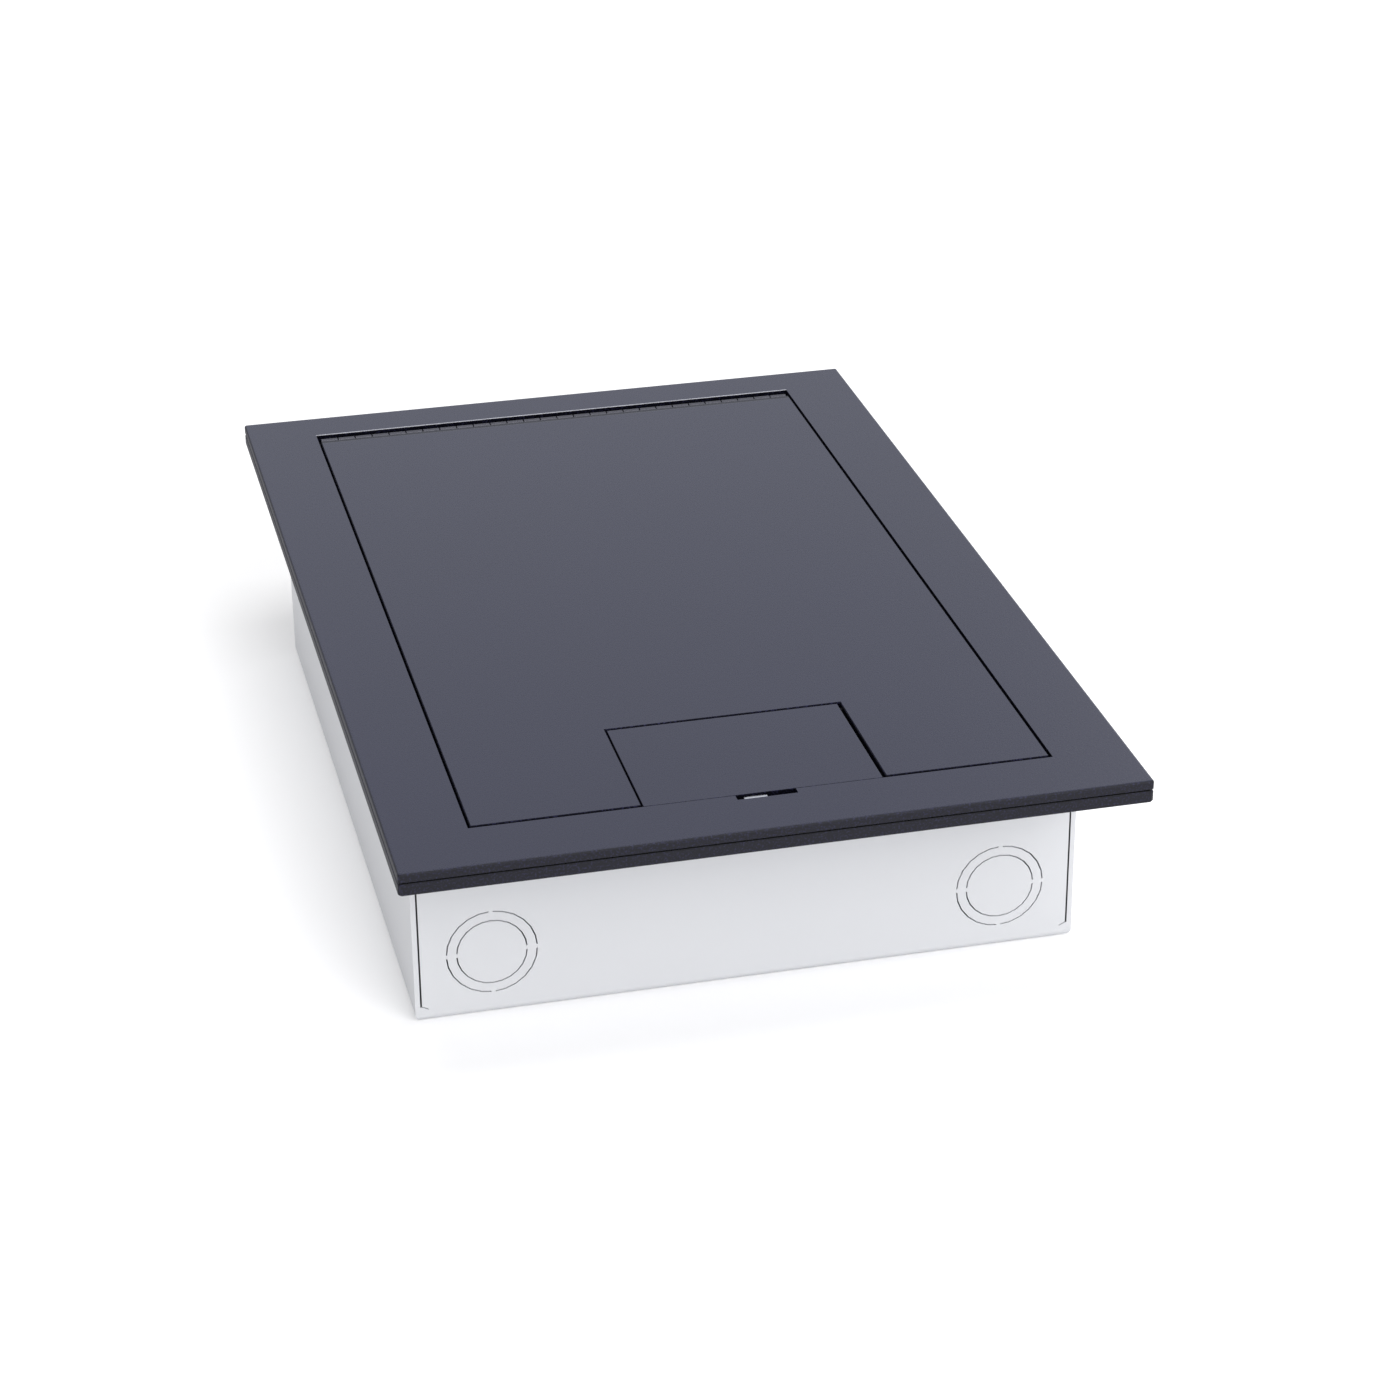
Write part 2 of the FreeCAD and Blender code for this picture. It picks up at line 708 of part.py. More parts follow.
def lid_plate():
    piece = Piece("lid_plate")
    piece.pad(
        SEAM,
        "plate",
        polygon(
            (f"-{LID_X}", LID_FRONT),
            (f"-{NOTCH_X}", LID_FRONT),
            (f"-{NOTCH_X}", NOTCH_BACK),
            (NOTCH_X, NOTCH_BACK),
            (NOTCH_X, LID_FRONT),
            (LID_X, LID_FRONT),
            (LID_X, LID_BACK),
            (f"-{LID_X}", LID_BACK),
        ),
    )
    piece.bevel("lid_edge", lambda box: at(box.ZMin, box.ZMax, TOP))
    for low in (f"-{NOTCH_X} - pivot_reach", NOTCH_X):
        bore = circle(PIVOT_Y, PIVOT_Z, "pivot_pin / 2 + running_fit")
        piece.cut(low, "pivot_reach", bore, plane="YZ_Plane")
    piece.drill(SEAM, "leaf_screw_bite", "leaf_screw / 2 + seat_fit", LEAF_GRID)


def hinge_leaf(label, direction, first):
    """One leaf of the piano hinge, with every second knuckle of the barrel rolled on it.

    direction is -1 for the leaf under the lid and 1 for the leaf in the frame; first counts
    the knuckle places from the left end of the barrel.
    """
    piece = Piece(label)
    leaf_floor = f"({SEAM} - hinge_leaf)"
    root = f"({AXIS_Y} + {direction} * {BARREL_ROOM})"
    tip = f"({AXIS_Y} + {direction} * leaf_width)"
    near, far = (tip, root) if direction < 0 else (root, tip)
    piece.pad(leaf_floor, "hinge_leaf", rectangle(f"-{HINGE_X}", HINGE_X, near, far))

    start = f"(-{HINGE_X} + {first} * {PITCH} + knuckle_play / 2)"
    length = f"({PITCH} - knuckle_play)"
    near, far = (root, AXIS_Y) if direction < 0 else (AXIS_Y, root)
    barrel = piece.pad(start, length, regular(AXIS_Y, AXIS_Z, KNUCKLE, 12), plane="YZ_Plane")
    tongue = piece.pad(start, length, rectangle(near, far, leaf_floor, SEAM), plane="YZ_Plane")
    bore = piece.cut(
        start,
        length,
        regular(AXIS_Y, AXIS_Z, to_corner("hinge_pin / 2 + running_fit", 6), 6),
        plane="YZ_Plane",
    )
    seam = rectangle(near, far, SEAM, f"{SEAM} + curl_gap")
    curl = piece.cut(start, length, seam, plane="YZ_Plane")
    piece.repeat([barrel, tongue, bore, curl], f"2 * {PITCH} * (knuckle_pairs - 1)", "knuckle_pairs")
    return piece


def piano_hinge():
    moving = hinge_leaf("hinge_leaf_moving", -1, 0)
    moving.drill(f"{SEAM} - hinge_leaf", "hinge_leaf", "leaf_screw / 2 + hole_play", LEAF_GRID)

    fixed = hinge_leaf("hinge_leaf_fixed", 1, 1)
    left, front, across, columns, along, _ = FRAME_GRID
    back_row = (left, f"({front} + {along})", across, columns, "0", 1)
    fixed.drill(f"{SEAM} - hinge_leaf", "hinge_leaf", "screw / 2 + hole_play", back_row)

    pin = Piece("hinge_pin")
    pin.pad(f"-{HINGE_X}", f"2 * {HINGE_X}", circle(AXIS_Y, AXIS_Z, "hinge_pin / 2"), plane="YZ_Plane")

    screws = Piece("lid_hinge_screws")
    x, y = LEAF_GRID[:2]
    under = f"({SEAM} - hinge_leaf)"
    head = screws.pad(
        f"{under} - leaf_screw_head_height", "leaf_screw_head_height", regular(x, y, "leaf_screw_head / 2")
    )
    shank = screws.pad(under, "hinge_leaf + leaf_screw_bite - seat_fit", regular(x, y, "leaf_screw / 2"))
    screws.spread([head, shank], LEAF_GRID)


def cable_flap():
    piece = Piece("cable_flap")
    piece.pad(SEAM, "plate", rectangle(f"-{FLAP_X}", FLAP_X, FLAP_FRONT, FLAP_BACK))
    piece.bevel(
        "lid_edge",
        lambda box: at(box.ZMin, box.ZMax, TOP) and not at(box.YMin, box.YMax, FLAP_FRONT),
    )
    for low in (f"-{FLAP_X}", f"{FLAP_X} - pivot_reach"):
        bore = circle(PIVOT_Y, PIVOT_Z, "pivot_pin / 2 + seat_fit")
        piece.cut(low, "pivot_reach", bore, plane="YZ_Plane")

    length = "(2 * pivot_reach + flap_gap - 2 * hole_play)"
    for label, low in (
        ("flap_pivot_left", f"-{NOTCH_X} - pivot_reach + hole_play"),
        ("flap_pivot_right", f"{FLAP_X} - pivot_reach + hole_play"),
    ):
        pin = Piece(label)
        pin.pad(low, length, circle(PIVOT_Y, PIVOT_Z, "pivot_pin / 2"), plane="YZ_Plane")


def frame_screws():
    """Countersunk screws up through the base plate into the trim plate."""
    piece = Piece("frame_screws")
    x, y = FRAME_GRID[:2]
    height = "((countersink - screw) / 2)"
    head = piece.pad("tub_depth", height, regular(x, y, "countersink / 2"), taper=-45)
    reach = f"base_plate - {height} + screw_bite"
    shank = piece.pad(f"tub_depth + {height}", reach, regular(x, y, "screw / 2"))
    piece.spread([head, shank], FRAME_GRID)


def pan_screws(label, grid, seat, reach, upward):
    """Pan-head screws: the head bears on seat, and the shank reaches past it."""
    piece = Piece(label)
    x, y = grid[:2]
    head_low = f"{seat} - screw_head_height" if upward else seat
    shank_low = seat if upward else f"{seat} - {reach}"
    head = piece.pad(head_low, "screw_head_height", regular(x, y, "screw_head / 2"))
    shank = piece.pad(shank_low, reach, regular(x, y, "screw / 2"))
    piece.spread([head, shank], grid)


def accessory_screws(label, grid):
    """Slotted countersunk screws through an accessory plate into the carrier."""
    piece = Piece(label)
    x, y = grid[:2]
    height = "((plate_screw_head - plate_screw) / 2)"
    head = piece.pad(f"{FACE} - {height}", height, regular(x, y, "plate_screw / 2", 12), taper=45)
    shank = piece.pad(
        "carrier_height - plate_screw_bite",
        f"accessory_depth - {height} + plate_screw_bite",
        regular(x, y, "plate_screw / 2", 12),
    )
    slot = centred(x, y, "(2 * plate_screw_head)", "plate_screw_slot")
    slot = piece.cut(f"{FACE} - {height} / 2", f"{height} / 2", slot)
    piece.spread([head, shank, slot], grid)


def carrier():
    """A folded bridge that holds both accessory plates above the wiring."""
    piece = Piece("accessory_carrier")
    inner_x = f"({CARRIER_X} - sheet)"
    profile = [
        (f"{CARRIER_X} - carrier_foot", "2 * sheet"),
        (f"{CARRIER_X} - carrier_foot", "sheet"),
        (CARRIER_X, "sheet"),
        (CARRIER_X, "carrier_height"),
    ]
    inside = [
        (inner_x, "carrier_height - sheet"),
        (inner_x, "2 * sheet"),
    ]
    left = [(f"-({x})", z) for x, z in reversed(profile)]
    left_inside = [(f"-({x})", z) for x, z in reversed(inside)]
    section = polygon(*profile, *left, *left_inside, *inside)
    piece.pad(CARRIER_FRONT, f"{CARRIER_BACK} - {CARRIER_FRONT}", section, plane="XZ_Plane")

    def bent(half_x, levels):
        def chosen(box):
            edge = abs(abs(box.XMin) - size(half_x)) < 1e-4 and box.XLength < 1e-4
            return edge and any(at(box.ZMin, box.ZMax, level) for level in levels)

        return chosen

    piece.round("bend + sheet", bent(CARRIER_X, ("sheet", "carrier_height")))
    piece.round("bend", bent(inner_x, ("2 * sheet", "carrier_height - sheet")))
    windows = [centred("0", y, "aperture_width", "aperture_length") for y in (POWER_Y, DATA_Y)]
    piece.cut("carrier_height - sheet", "sheet", *windows)
    for grid in (POWER_GRID, DATA_GRID):
        piece.drill("carrier_height - sheet", "sheet", "plate_screw / 2 + seat_fit", grid, 12)
    piece.drill("sheet", "sheet", "screw / 2 + hole_play", FOOT_GRID)


def divider():
    """The wall below the carrier that keeps mains and data wiring apart."""
    piece = Piece("compartment_divider")
    foot_x = f"({CARRIER_X} - carrier_foot - hole_play)"
    web_x = f"({CARRIER_X} - sheet - bend - hole_play)"
    top = "carrier_height - sheet"
    step = "2 * sheet + hole_play"
    web = polygon(
        (foot_x, "sheet"),
        (foot_x, step),
        (web_x, step),
        (web_x, top),
        (f"-{web_x}", top),
        (f"-{web_x}", step),
        (f"-{foot_x}", step),
        (f"-{foot_x}", "sheet"),
    )
    piece.pad(DIVIDE_Y, "divider_sheet", web, plane="XZ_Plane")
    piece.pad(
        "sheet",
        "divider_sheet",
        rectangle(f"-{foot_x}", foot_x, f"{DIVIDE_Y} - divider_foot", DIVIDE_Y),
    )


def accessory_shell(label, grid):
    """A moulded accessory plate, hollow behind, with a boss round each fixing screw."""
    piece = Piece(label)
    x, y = grid[:2]
    piece.pad("carrier_height", "accessory_depth", centred("0", y, "accessory_width", "accessory_length"))
    piece.round("accessory_corner", upright)
    piece.bevel("accessory_edge", lambda box: at(box.ZMin, box.ZMax, FACE))
    across = "(accessory_width - 2 * shell_wall)"
    along = "(accessory_length - 2 * shell_wall)"
    piece.cut("carrier_height", "accessory_depth - shell_wall", centred("0", y, across, along))
    boss = piece.pad("carrier_height", "accessory_depth - shell_wall", regular(x, y, "boss / 2", 12))
    piece.spread([boss], grid)
    piece.drill("carrier_height", "accessory_depth", "plate_screw / 2 + hole_play", grid, 12)
    height = "((plate_screw_head - plate_screw) / 2)"
    sink = regular(x, y, "plate_screw / 2 + hole_play", 12)
    piece.spread([piece.cut(f"{FACE} - {height}", height, sink, taper=45)], grid)
    return piece


def rocker_windows():
    """Openings for both rockers."""
    across = "(rocker_width + 2 * rocker_side_play)"
    along = "(rocker_length + 2 * rocker_end_play)"
    return [centred(f"{side} * rocker_spread / 2", ROCKER_Y, across, along) for side in (-1, 1)]


def socket_plate():
    piece = accessory_shell("socket_plate", POWER_GRID)
    slots = [centred(x, y, "line_slot_across", "line_slot_along") for x, y in LINE_PINS]
    slots += [centred(x, y, "earth_slot_across", "earth_slot_along") for x, y in EARTH_PINS]
    piece.cut(SHELL_ROOF, "shell_wall", *slots)
    piece.cut(SHELL_ROOF, "shell_wall", *rocker_windows())


def socket_housing():
    piece = Piece("socket_housing")
    piece.pad(
        HOUSING_FLOOR,
        "housing_depth",
        rectangle(f"-{HOUSING_X}", HOUSING_X, f"{POWER_Y} - {HOUSING_Y}", f"{POWER_Y} + {HOUSING_Y}"),
    )
    piece.bevel("accessory_edge", upright)
    line = ("(line_slot_across + 2 * well_play)", "(line_slot_along + 2 * well_play)")
    earth = ("(earth_slot_across + 2 * well_play)", "(earth_slot_along + 2 * well_play)")
    wells = [centred(x, y, *line) for x, y in LINE_PINS]
    wells += [centred(x, y, *earth) for x, y in EARTH_PINS]
    piece.cut(f"{HOUSING_FLOOR} + well_floor", "housing_depth - well_floor", *wells)
    recess = ("(shutter_across + 2 * hole_play)", "(shutter_along + 2 * hole_play)")
    recesses = [centred(x, LINE_Y, *recess) for x in OUTLETS]
    piece.cut(SHUTTER_FLOOR, f"{SHELL_ROOF} - {SHUTTER_FLOOR}", *recesses)
    rocker_floor = f"({ROCKER_Z} - rocker_belly - rocker_end_play)"
    piece.cut(rocker_floor, f"{SHELL_ROOF} - {rocker_floor}", *rocker_windows())
    reach = "(rocker_width + 2 * rocker_axle_reach + 2 * rocker_side_play)"
    axle = circle(ROCKER_Y, ROCKER_Z, "rocker_axle / 2 + running_fit")
    for side in (-1, 1):
        piece.cut(f"{side} * rocker_spread / 2 - {reach} / 2", reach, axle, plane="YZ_Plane")
    piece.cut(HOUSING_FLOOR, "terminal_recess", *terminal_outlines("seat_fit"))


def terminal_outlines(play):
    """Three terminals in a row below the switches: line, earth and neutral."""
    width = f"(terminal + 2 * {play})"
    row = f"({POWER_Y} + {HOUSING_Y} - terminal)"
    return [centred(f"{step} * terminal_pitch", row, width, width) for step in (-1, 0, 1)]


def socket_inner_parts():
    """Shutters, contacts and terminals inside and behind the housing."""
    shutters = Piece("socket_shutters")
    plan = [centred(x, LINE_Y, "shutter_across", "shutter_along") for x in OUTLETS]
    shutters.pad(SHUTTER_FLOOR, "shutter_sheet", *plan)

    contacts = Piece("socket_contacts")
    low = f"({HOUSING_FLOOR} + well_floor)"
    spread = "(contact_grip + contact_sheet)"
    width = "contact_width"
    full = "(contact_grip + 2 * contact_sheet)"
    floors = [centred(x, y, width, full) for x, y in LINE_PINS]
    floors += [centred(x, y, full, width) for x, y in EARTH_PINS]
    contacts.pad(low, "contact_sheet", *floors)
    walls = []
    for side in (-1, 1):
        walls += [
            centred(x, f"({y} + {side} * {spread} / 2)", width, "contact_sheet") for x, y in LINE_PINS
        ]
        walls += [
            centred(f"({x} + {side} * {spread} / 2)", y, "contact_sheet", width) for x, y in EARTH_PINS
        ]
    contacts.pad(f"{low} + contact_sheet", "contact_height - contact_sheet", *walls)

    terminals = Piece("socket_terminals")
    low = f"({HOUSING_FLOOR} - terminal_stand)"
    terminals.pad(low, "terminal_stand + terminal_recess - seat_fit", *terminal_outlines("0"))


def rocker(label, side):
    """A switch rocker, drawn level about its own axle and then tilted to off."""
    piece = Piece(label)
    half = "rocker_length / 2"
    piece.pad(
        "-rocker_width / 2",
        "rocker_width",
        polygon(
            ("0", "rocker_valley"),
            (f"-{half}", "rocker_crest"),
            (f"-{half}", "rocker_skirt"),
            ("-rocker_keel / 2", "-rocker_belly"),
            ("rocker_keel / 2", "-rocker_belly"),
            (half, "rocker_skirt"),
            (half, "rocker_crest"),
        ),
        plane="YZ_Plane",
    )
    reach = "(rocker_width / 2 + rocker_axle_reach)"
    piece.pad(f"-{reach}", f"2 * {reach}", regular("0", "0", "rocker_axle / 2", 12), plane="YZ_Plane")
    body = piece.body
    body.Placement = FreeCAD.Placement(Vector(0, 0, 0), FreeCAD.Rotation(Vector(1, 0, 0), -1))
    body.setExpression("Placement.Base.x", named(f"{side} * rocker_spread / 2"))
    body.setExpression("Placement.Base.y", named(ROCKER_Y))
    body.setExpression("Placement.Base.z", named(ROCKER_Z))
    body.setExpression("Placement.Rotation.Angle", named("-rocker_tilt"))


def data_plate():
    piece = accessory_shell("data_plate", DATA_GRID)
    piece.cut(SHELL_ROOF, "shell_wall", centred("0", DATA_Y, "(4 * module_width)", "module_length"))
    for index in range(4):
        data_module(f"data_module_{index + 1}", f"(({index} - 1.5) * module_width)")


def data_module(label, x):
    """One snap-in data outlet: a face, a body behind it, two lugs, and the port."""
    piece = Piece(label)
    across = "(module_width - 2 * module_play)"
    along = "(module_length - 2 * module_play)"
    piece.pad(SHELL_ROOF, "shell_wall", centred(x, DATA_Y, across, along))
    piece.pad(
        f"{FACE} - module_depth",
        "module_depth - shell_wall",
        centred(x, DATA_Y, "module_back_width", "module_back_length"),
    )
    lug = f"({SHELL_ROOF} - module_play - module_lug_height)"
    piece.pad(
        lug,
        f"{SHELL_ROOF} - module_play - {lug}",
        centred(x, DATA_Y, "module_lug_width", "(module_length + 2 * module_lug_reach)"),
    )
    stem = "(module_length - 2 * module_play)"
    piece.pad(lug, f"{SHELL_ROOF} - {lug}", centred(x, DATA_Y, "module_lug_width", stem))
    port_low = f"{FACE} - port_depth"
    piece.cut(port_low, "port_depth", centred(x, DATA_Y, "port_across", "port_along"))
    key_y = f"({DATA_Y} - port_along / 2 - port_key_along / 2)"
    piece.cut(port_low, "port_depth", centred(x, key_y, "port_key_across", "port_key_along"))


def earth_terminal():
    """A stud on the tub's floor, with two washers and two nuts."""
    stud = Piece("earth_stud")
    stud.pad("sheet", "earth_stud_height", regular(STUD_X, STUD_Y, "earth_stud / 2", 12))
    washers = Piece("earth_washers")
    nuts = Piece("earth_nuts")
    level = "sheet"
    for _ in range(2):
        washer = regular(STUD_X, STUD_Y, "earth_washer / 2", 12)
        hole = regular(STUD_X, STUD_Y, to_corner("earth_stud / 2 + hole_play", 12), 12)
        washers.pad(level, "earth_washer_height", washer, hole)
        level = f"({level} + earth_washer_height)"
        nut = regular(STUD_X, STUD_Y, to_corner("earth_nut / 2", 6), 6)
        thread = regular(STUD_X, STUD_Y, to_corner("earth_stud / 2 + seat_fit", 12), 12)
        nuts.pad(level, "earth_nut_height", nut, thread)
        level = f"({level} + earth_nut_height)"


def main():
    tub()
    base_frame()
    trim_frame()
    frame_screws()
    pan_screws("tub_screws", TAB_GRID, "(tub_depth - sheet)", "(sheet + base_plate + screw_bite)", True)
    ledge_pads()
    piano_hinge()
    lid_plate()
    cable_flap()
    flap_keeper()
    latch_slide()
    carrier()
    pan_screws("carrier_screws", FOOT_GRID, "(2 * sheet)", "(2 * sheet - hole_play)", False)
    divider()
    socket_plate()
    socket_housing()
    socket_inner_parts()
    rocker("rocker_left", -1)
    rocker("rocker_right", 1)
    accessory_screws("socket_plate_screws", POWER_GRID)
    data_plate()
    accessory_screws("data_plate_screws", DATA_GRID)
    earth_terminal()

    doc.recompute()
    for item in doc.Objects:
        if "Invalid" in item.State or "Error" in item.State:
            raise ValueError(f"{item.Label} failed: {item.State}")
    os.makedirs("parts", exist_ok=True)
    for body in pieces:
        if body.Shape.isNull() or not body.Shape.isValid():
            raise ValueError(f"{body.Label} has no valid shape")
        body.Shape.exportStep(f"parts/{body.Label}.step")
        print(f"{body.Label}: {len(body.Shape.Solids)} solids, {body.Shape.Volume:.1f} mm3")


main()
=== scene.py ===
"""Looks of the floor socket box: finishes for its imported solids, small parts on them, and the studio."""

import json
import math
from functools import cached_property
from typing import NamedTuple

import bmesh
import bpy
from bpy.props import FloatProperty, FloatVectorProperty, IntProperty, PointerProperty
from mathutils import Matrix, Vector

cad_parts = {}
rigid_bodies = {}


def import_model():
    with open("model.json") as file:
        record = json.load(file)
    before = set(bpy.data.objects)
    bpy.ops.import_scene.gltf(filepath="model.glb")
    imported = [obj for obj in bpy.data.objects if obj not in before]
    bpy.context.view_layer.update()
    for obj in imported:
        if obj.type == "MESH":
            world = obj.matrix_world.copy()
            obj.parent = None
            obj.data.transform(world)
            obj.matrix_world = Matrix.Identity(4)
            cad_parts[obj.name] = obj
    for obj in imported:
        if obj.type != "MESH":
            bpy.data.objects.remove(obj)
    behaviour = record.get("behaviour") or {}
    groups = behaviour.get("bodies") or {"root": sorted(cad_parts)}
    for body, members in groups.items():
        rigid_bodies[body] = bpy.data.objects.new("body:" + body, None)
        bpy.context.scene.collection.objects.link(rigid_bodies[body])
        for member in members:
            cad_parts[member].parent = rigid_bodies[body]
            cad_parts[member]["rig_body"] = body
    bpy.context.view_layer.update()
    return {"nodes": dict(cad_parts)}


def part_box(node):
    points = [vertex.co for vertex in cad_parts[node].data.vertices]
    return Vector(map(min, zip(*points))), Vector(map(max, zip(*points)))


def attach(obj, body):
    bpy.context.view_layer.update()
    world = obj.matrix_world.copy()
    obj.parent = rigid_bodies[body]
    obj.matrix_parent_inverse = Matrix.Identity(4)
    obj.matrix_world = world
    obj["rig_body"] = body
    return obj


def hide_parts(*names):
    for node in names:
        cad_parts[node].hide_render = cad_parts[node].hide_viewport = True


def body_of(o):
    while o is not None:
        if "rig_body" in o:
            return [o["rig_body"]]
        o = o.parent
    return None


bl_info = {
    "name": "Floor socket box",
    "version": (1, 0, 0),
    "blender": (4, 5, 0),
    "location": "3D View > Sidebar > Floor box",
    "description": "Finishes, small parts and studio of a floor socket box",
    "category": "Object",
}

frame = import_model()

MM = 0.001  # a millimetre, in metres
NEAR = 1e-7  # points less than this far apart are one, in metres

BLACK = (0.0, 0.0, 0.0)
WHITE = (1.0, 1.0, 1.0)


# ---------------------------------------------------------------- shader graphs


class Value:
    """A number that changes over a surface; sums on it add Math nodes."""

    def __init__(self, graph, socket):
        self.graph = graph
        self.socket = socket

    def maths(self, operation, *values, clamp=False):
        return self.graph.node("ShaderNodeMath", values, operation=operation, use_clamp=clamp)

    def __add__(self, other):
        return self.maths("ADD", self, other)

    def __radd__(self, other):
        return self.maths("ADD", other, self)

    def __sub__(self, other):
        return self.maths("SUBTRACT", self, other)

    def __rsub__(self, other):
        return self.maths("SUBTRACT", other, self)

    def __mul__(self, other):
        return self.maths("MULTIPLY", self, other)

    def __rmul__(self, other):
        return self.maths("MULTIPLY", other, self)

    def __abs__(self):
        return self.maths("ABSOLUTE", self)

    def clamped(self):
        """The value kept between 0 and 1."""
        return self.maths("ADD", self, 0.0, clamp=True)

    def step(self, level, width):
        """0 below a level and 1 above it, with a soft edge of that width."""
        return ((self - level) * (1 / width) + 0.5).clamped()

    def band(self, middle, half, soft):
        """1 within half a width of a middle and 0 outside it, with soft edges."""
        return ((half - abs(self - middle)) * (1 / soft) + 0.5).clamped()

    def between(self, low, high):
        """The value, from 0 to 1, spread from one number to another."""
        return self * (high - low) + low


class Graph:
    """The nodes of one material or world."""

    SEEING = ("Camera", "Glossy", "Transmission")

    # A Mix node's colour sockets go by number, because its other kinds share their names.
    MIX_FIRST = 6
    MIX_SECOND = 7
    MIX_RESULT = 2

    def __init__(self, name, kind="materials"):
        self.owner = getattr(bpy.data, kind).new(name)
        self.owner.use_nodes = True
        self.tree = self.owner.node_tree
        self.tree.nodes.clear()

    @cached_property
    def place(self):
        """The piece's own coordinates, in metres."""
        return self.node("ShaderNodeTexCoord", output="Object")

    def node(self, kind, values=(), output=0, **settings):
        """Add a node with its settings, then its sockets' values or links."""
        node = self.tree.nodes.new(kind)
        for name, setting in settings.items():
            setattr(node, name, setting)
        pairs = values.items() if isinstance(values, dict) else enumerate(values)
        for key, value in pairs:
            if isinstance(value, Value):
                self.tree.links.new(value.socket, node.inputs[key])
            else:
                node.inputs[key].default_value = value
        return Value(self, node.outputs[output]) if len(node.outputs) else None

    def axis(self, letter):
        """One coordinate of the place: X, Y or Z."""
        return self.node("ShaderNodeSeparateXYZ", [self.place], output=letter)

    def level(self):
        """How squarely a surface faces up or down: 1 on a flat top, 0 on a wall."""
        normal = self.node("ShaderNodeTexCoord", output="Normal")
        return abs(self.node("ShaderNodeSeparateXYZ", [normal], output="Z"))

    def stretched(self, scale):
        """The place, scaled by a different amount along each axis."""
        return self.node("ShaderNodeVectorMath", [self.place, scale], operation="MULTIPLY")

    def noise(self, scale, detail=2.0, place=None):
        """A cloudy pattern from 0 to 1, with so many lumps in a metre."""
        values = {"Vector": place or self.place, "Scale": scale, "Detail": detail}
        return self.node("ShaderNodeTexNoise", values)

    def patches(self, scale):
        """A grey level that changes from cell to cell."""
        values = {"Vector": self.place, "Scale": scale}
        colour = self.node("ShaderNodeTexVoronoi", values, output="Color")
        return self.node("ShaderNodeSeparateColor", [colour])

    def blend(self, factor, first, second):
        """A colour between two colours."""
        values = {"Factor": factor, self.MIX_FIRST: colour_of(first), self.MIX_SECOND: colour_of(second)}
        return self.node("ShaderNodeMix", values, output=self.MIX_RESULT, data_type="RGBA")

    def bump(self, height, strength, distance):
        """A surface direction that follows a height; the distance is in metres."""
        values = {"Strength": strength, "Distance": distance, "Height": height}
        return self.node("ShaderNodeBump", values)

    def seen(self):
        """1 where a ray comes from the camera, a mirror or glass, and 0 where it only carries light."""
        rays = [self.node("ShaderNodeLightPath", output=f"Is {kind} Ray") for kind in self.SEEING]
        return sum(rays).clamped()

    def shader(self, **sockets):
        """A surface shader; words in socket names are joined by _."""
        values = {name.replace("_", " "): value for name, value in sockets.items()}
        return self.node("ShaderNodeBsdfPrincipled", values)

    def surface(self, **sockets):
        """Close a material's graph with one surface shader."""
        self.node("ShaderNodeOutputMaterial", {"Surface": self.shader(**sockets)})
        return self.owner


def colour_of(value):
    """A colour with its alpha, where it isn't one already."""
    if isinstance(value, Value):
        return value
    return (*value[:3], 1.0)


def shade(colour, factor):
    """A colour made darker or lighter."""
    return tuple(min(1.0, channel * factor) for channel in colour[:3])


def paint(names, material):
    """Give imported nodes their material."""
    for name in names:
        slots = frame["nodes"][name].data.materials
        slots.clear()
        slots.append(material)


# ---------------------------------------------------------------- settings


def colour_property(name, description, default):
    return FloatVectorProperty(
        name=name, description=description, default=default, size=3, subtype="COLOR", min=0, max=1
    )


def length_property(name, description, default):
    return FloatProperty(
        name=name, description=description, default=default, min=0, unit="LENGTH", precision=5
    )


class CoatSettings(bpy.types.PropertyGroup):
    flange: colour_property("Flange", "Powder coat of the flange, lid and flap", (0.0082, 0.0092, 0.0285))
    speck: colour_property("Speck", "Lighter grains in the powder coat", (0.015, 0.017, 0.041))
    # Edge is painted shade: the darker colour given to every wall of the plates and to the lid's fold.
    edge: colour_property("Edge", "Powder coat on the cut edges of the plates", (0.0026, 0.0026, 0.0066))
    tub: colour_property("Tub", "Smooth coat of the tub", (0.74, 0.75, 0.775))
    grain: length_property("Grain", "Size of the powder coat's grains", 0.0006)
    grain_depth: length_property("Grain depth", "Height of the grains", 0.00005)
    gloss: FloatProperty(
        name="Roughness", description="Roughness of the powder coat", default=0.29, min=0, max=1
    )
    edge_gloss: FloatProperty(
        name="Edge roughness", description="Roughness of the coat on cut edges", default=0.62, min=0, max=1
    )
    rim_depth: length_property("Rim depth", "How far in from the outline a wall is still the rim", 0.003)
    # The seam's black band is painted shade between the two flange plates.
    seam: length_property("Seam", "Half the height of the dark seam on the rim", 0.0001)
    # The lid's fold is a bumped groove with painted shade in it, and its rear edge has a black line of
    # painted shade.
    fold: length_property("Fold", "From the lid's rear edge to the middle of its fold", 0.0015)
    fold_width: length_property("Fold width", "Width of the lid's fold", 0.001)
    crease: length_property("Crease", "Width of the dark crease along the lid's rear edge", 0.0007)
    # Bare is a painted highlight: bright metal along the frame's inner back edge, which mirrors the sky as a
    # light line.
    bare: colour_property("Bare", "Metal where the coat has worn off an edge", (0.84, 0.84, 0.87))
    highlight_width: length_property("Bare width", "Width of the worn line", 0.0004)
    sheet: length_property("Sheet", "Thickness of the tub's sheet", 0.0015)
    # Gap is painted shade: the near-black colour put in the tub's corner slits.
    gap: colour_property("Gap", "Dark of the slits at the tub's corners", (0.01, 0.01, 0.012))
    corner_slit: length_property("Corner slit", "Width of the slit at each corner of the tub", 0.000525)
    slit_inset: length_property("Slit inset", "From the wall's inner face to a slit's middle", 0.0002275)
    slit_foot: length_property("Slit foot", "Height at which the corner slits begin", 0.005)
    index: FloatProperty(
        name="Refractive index", description="Sheen of the powder coat", default=1.44, min=1, max=2
    )


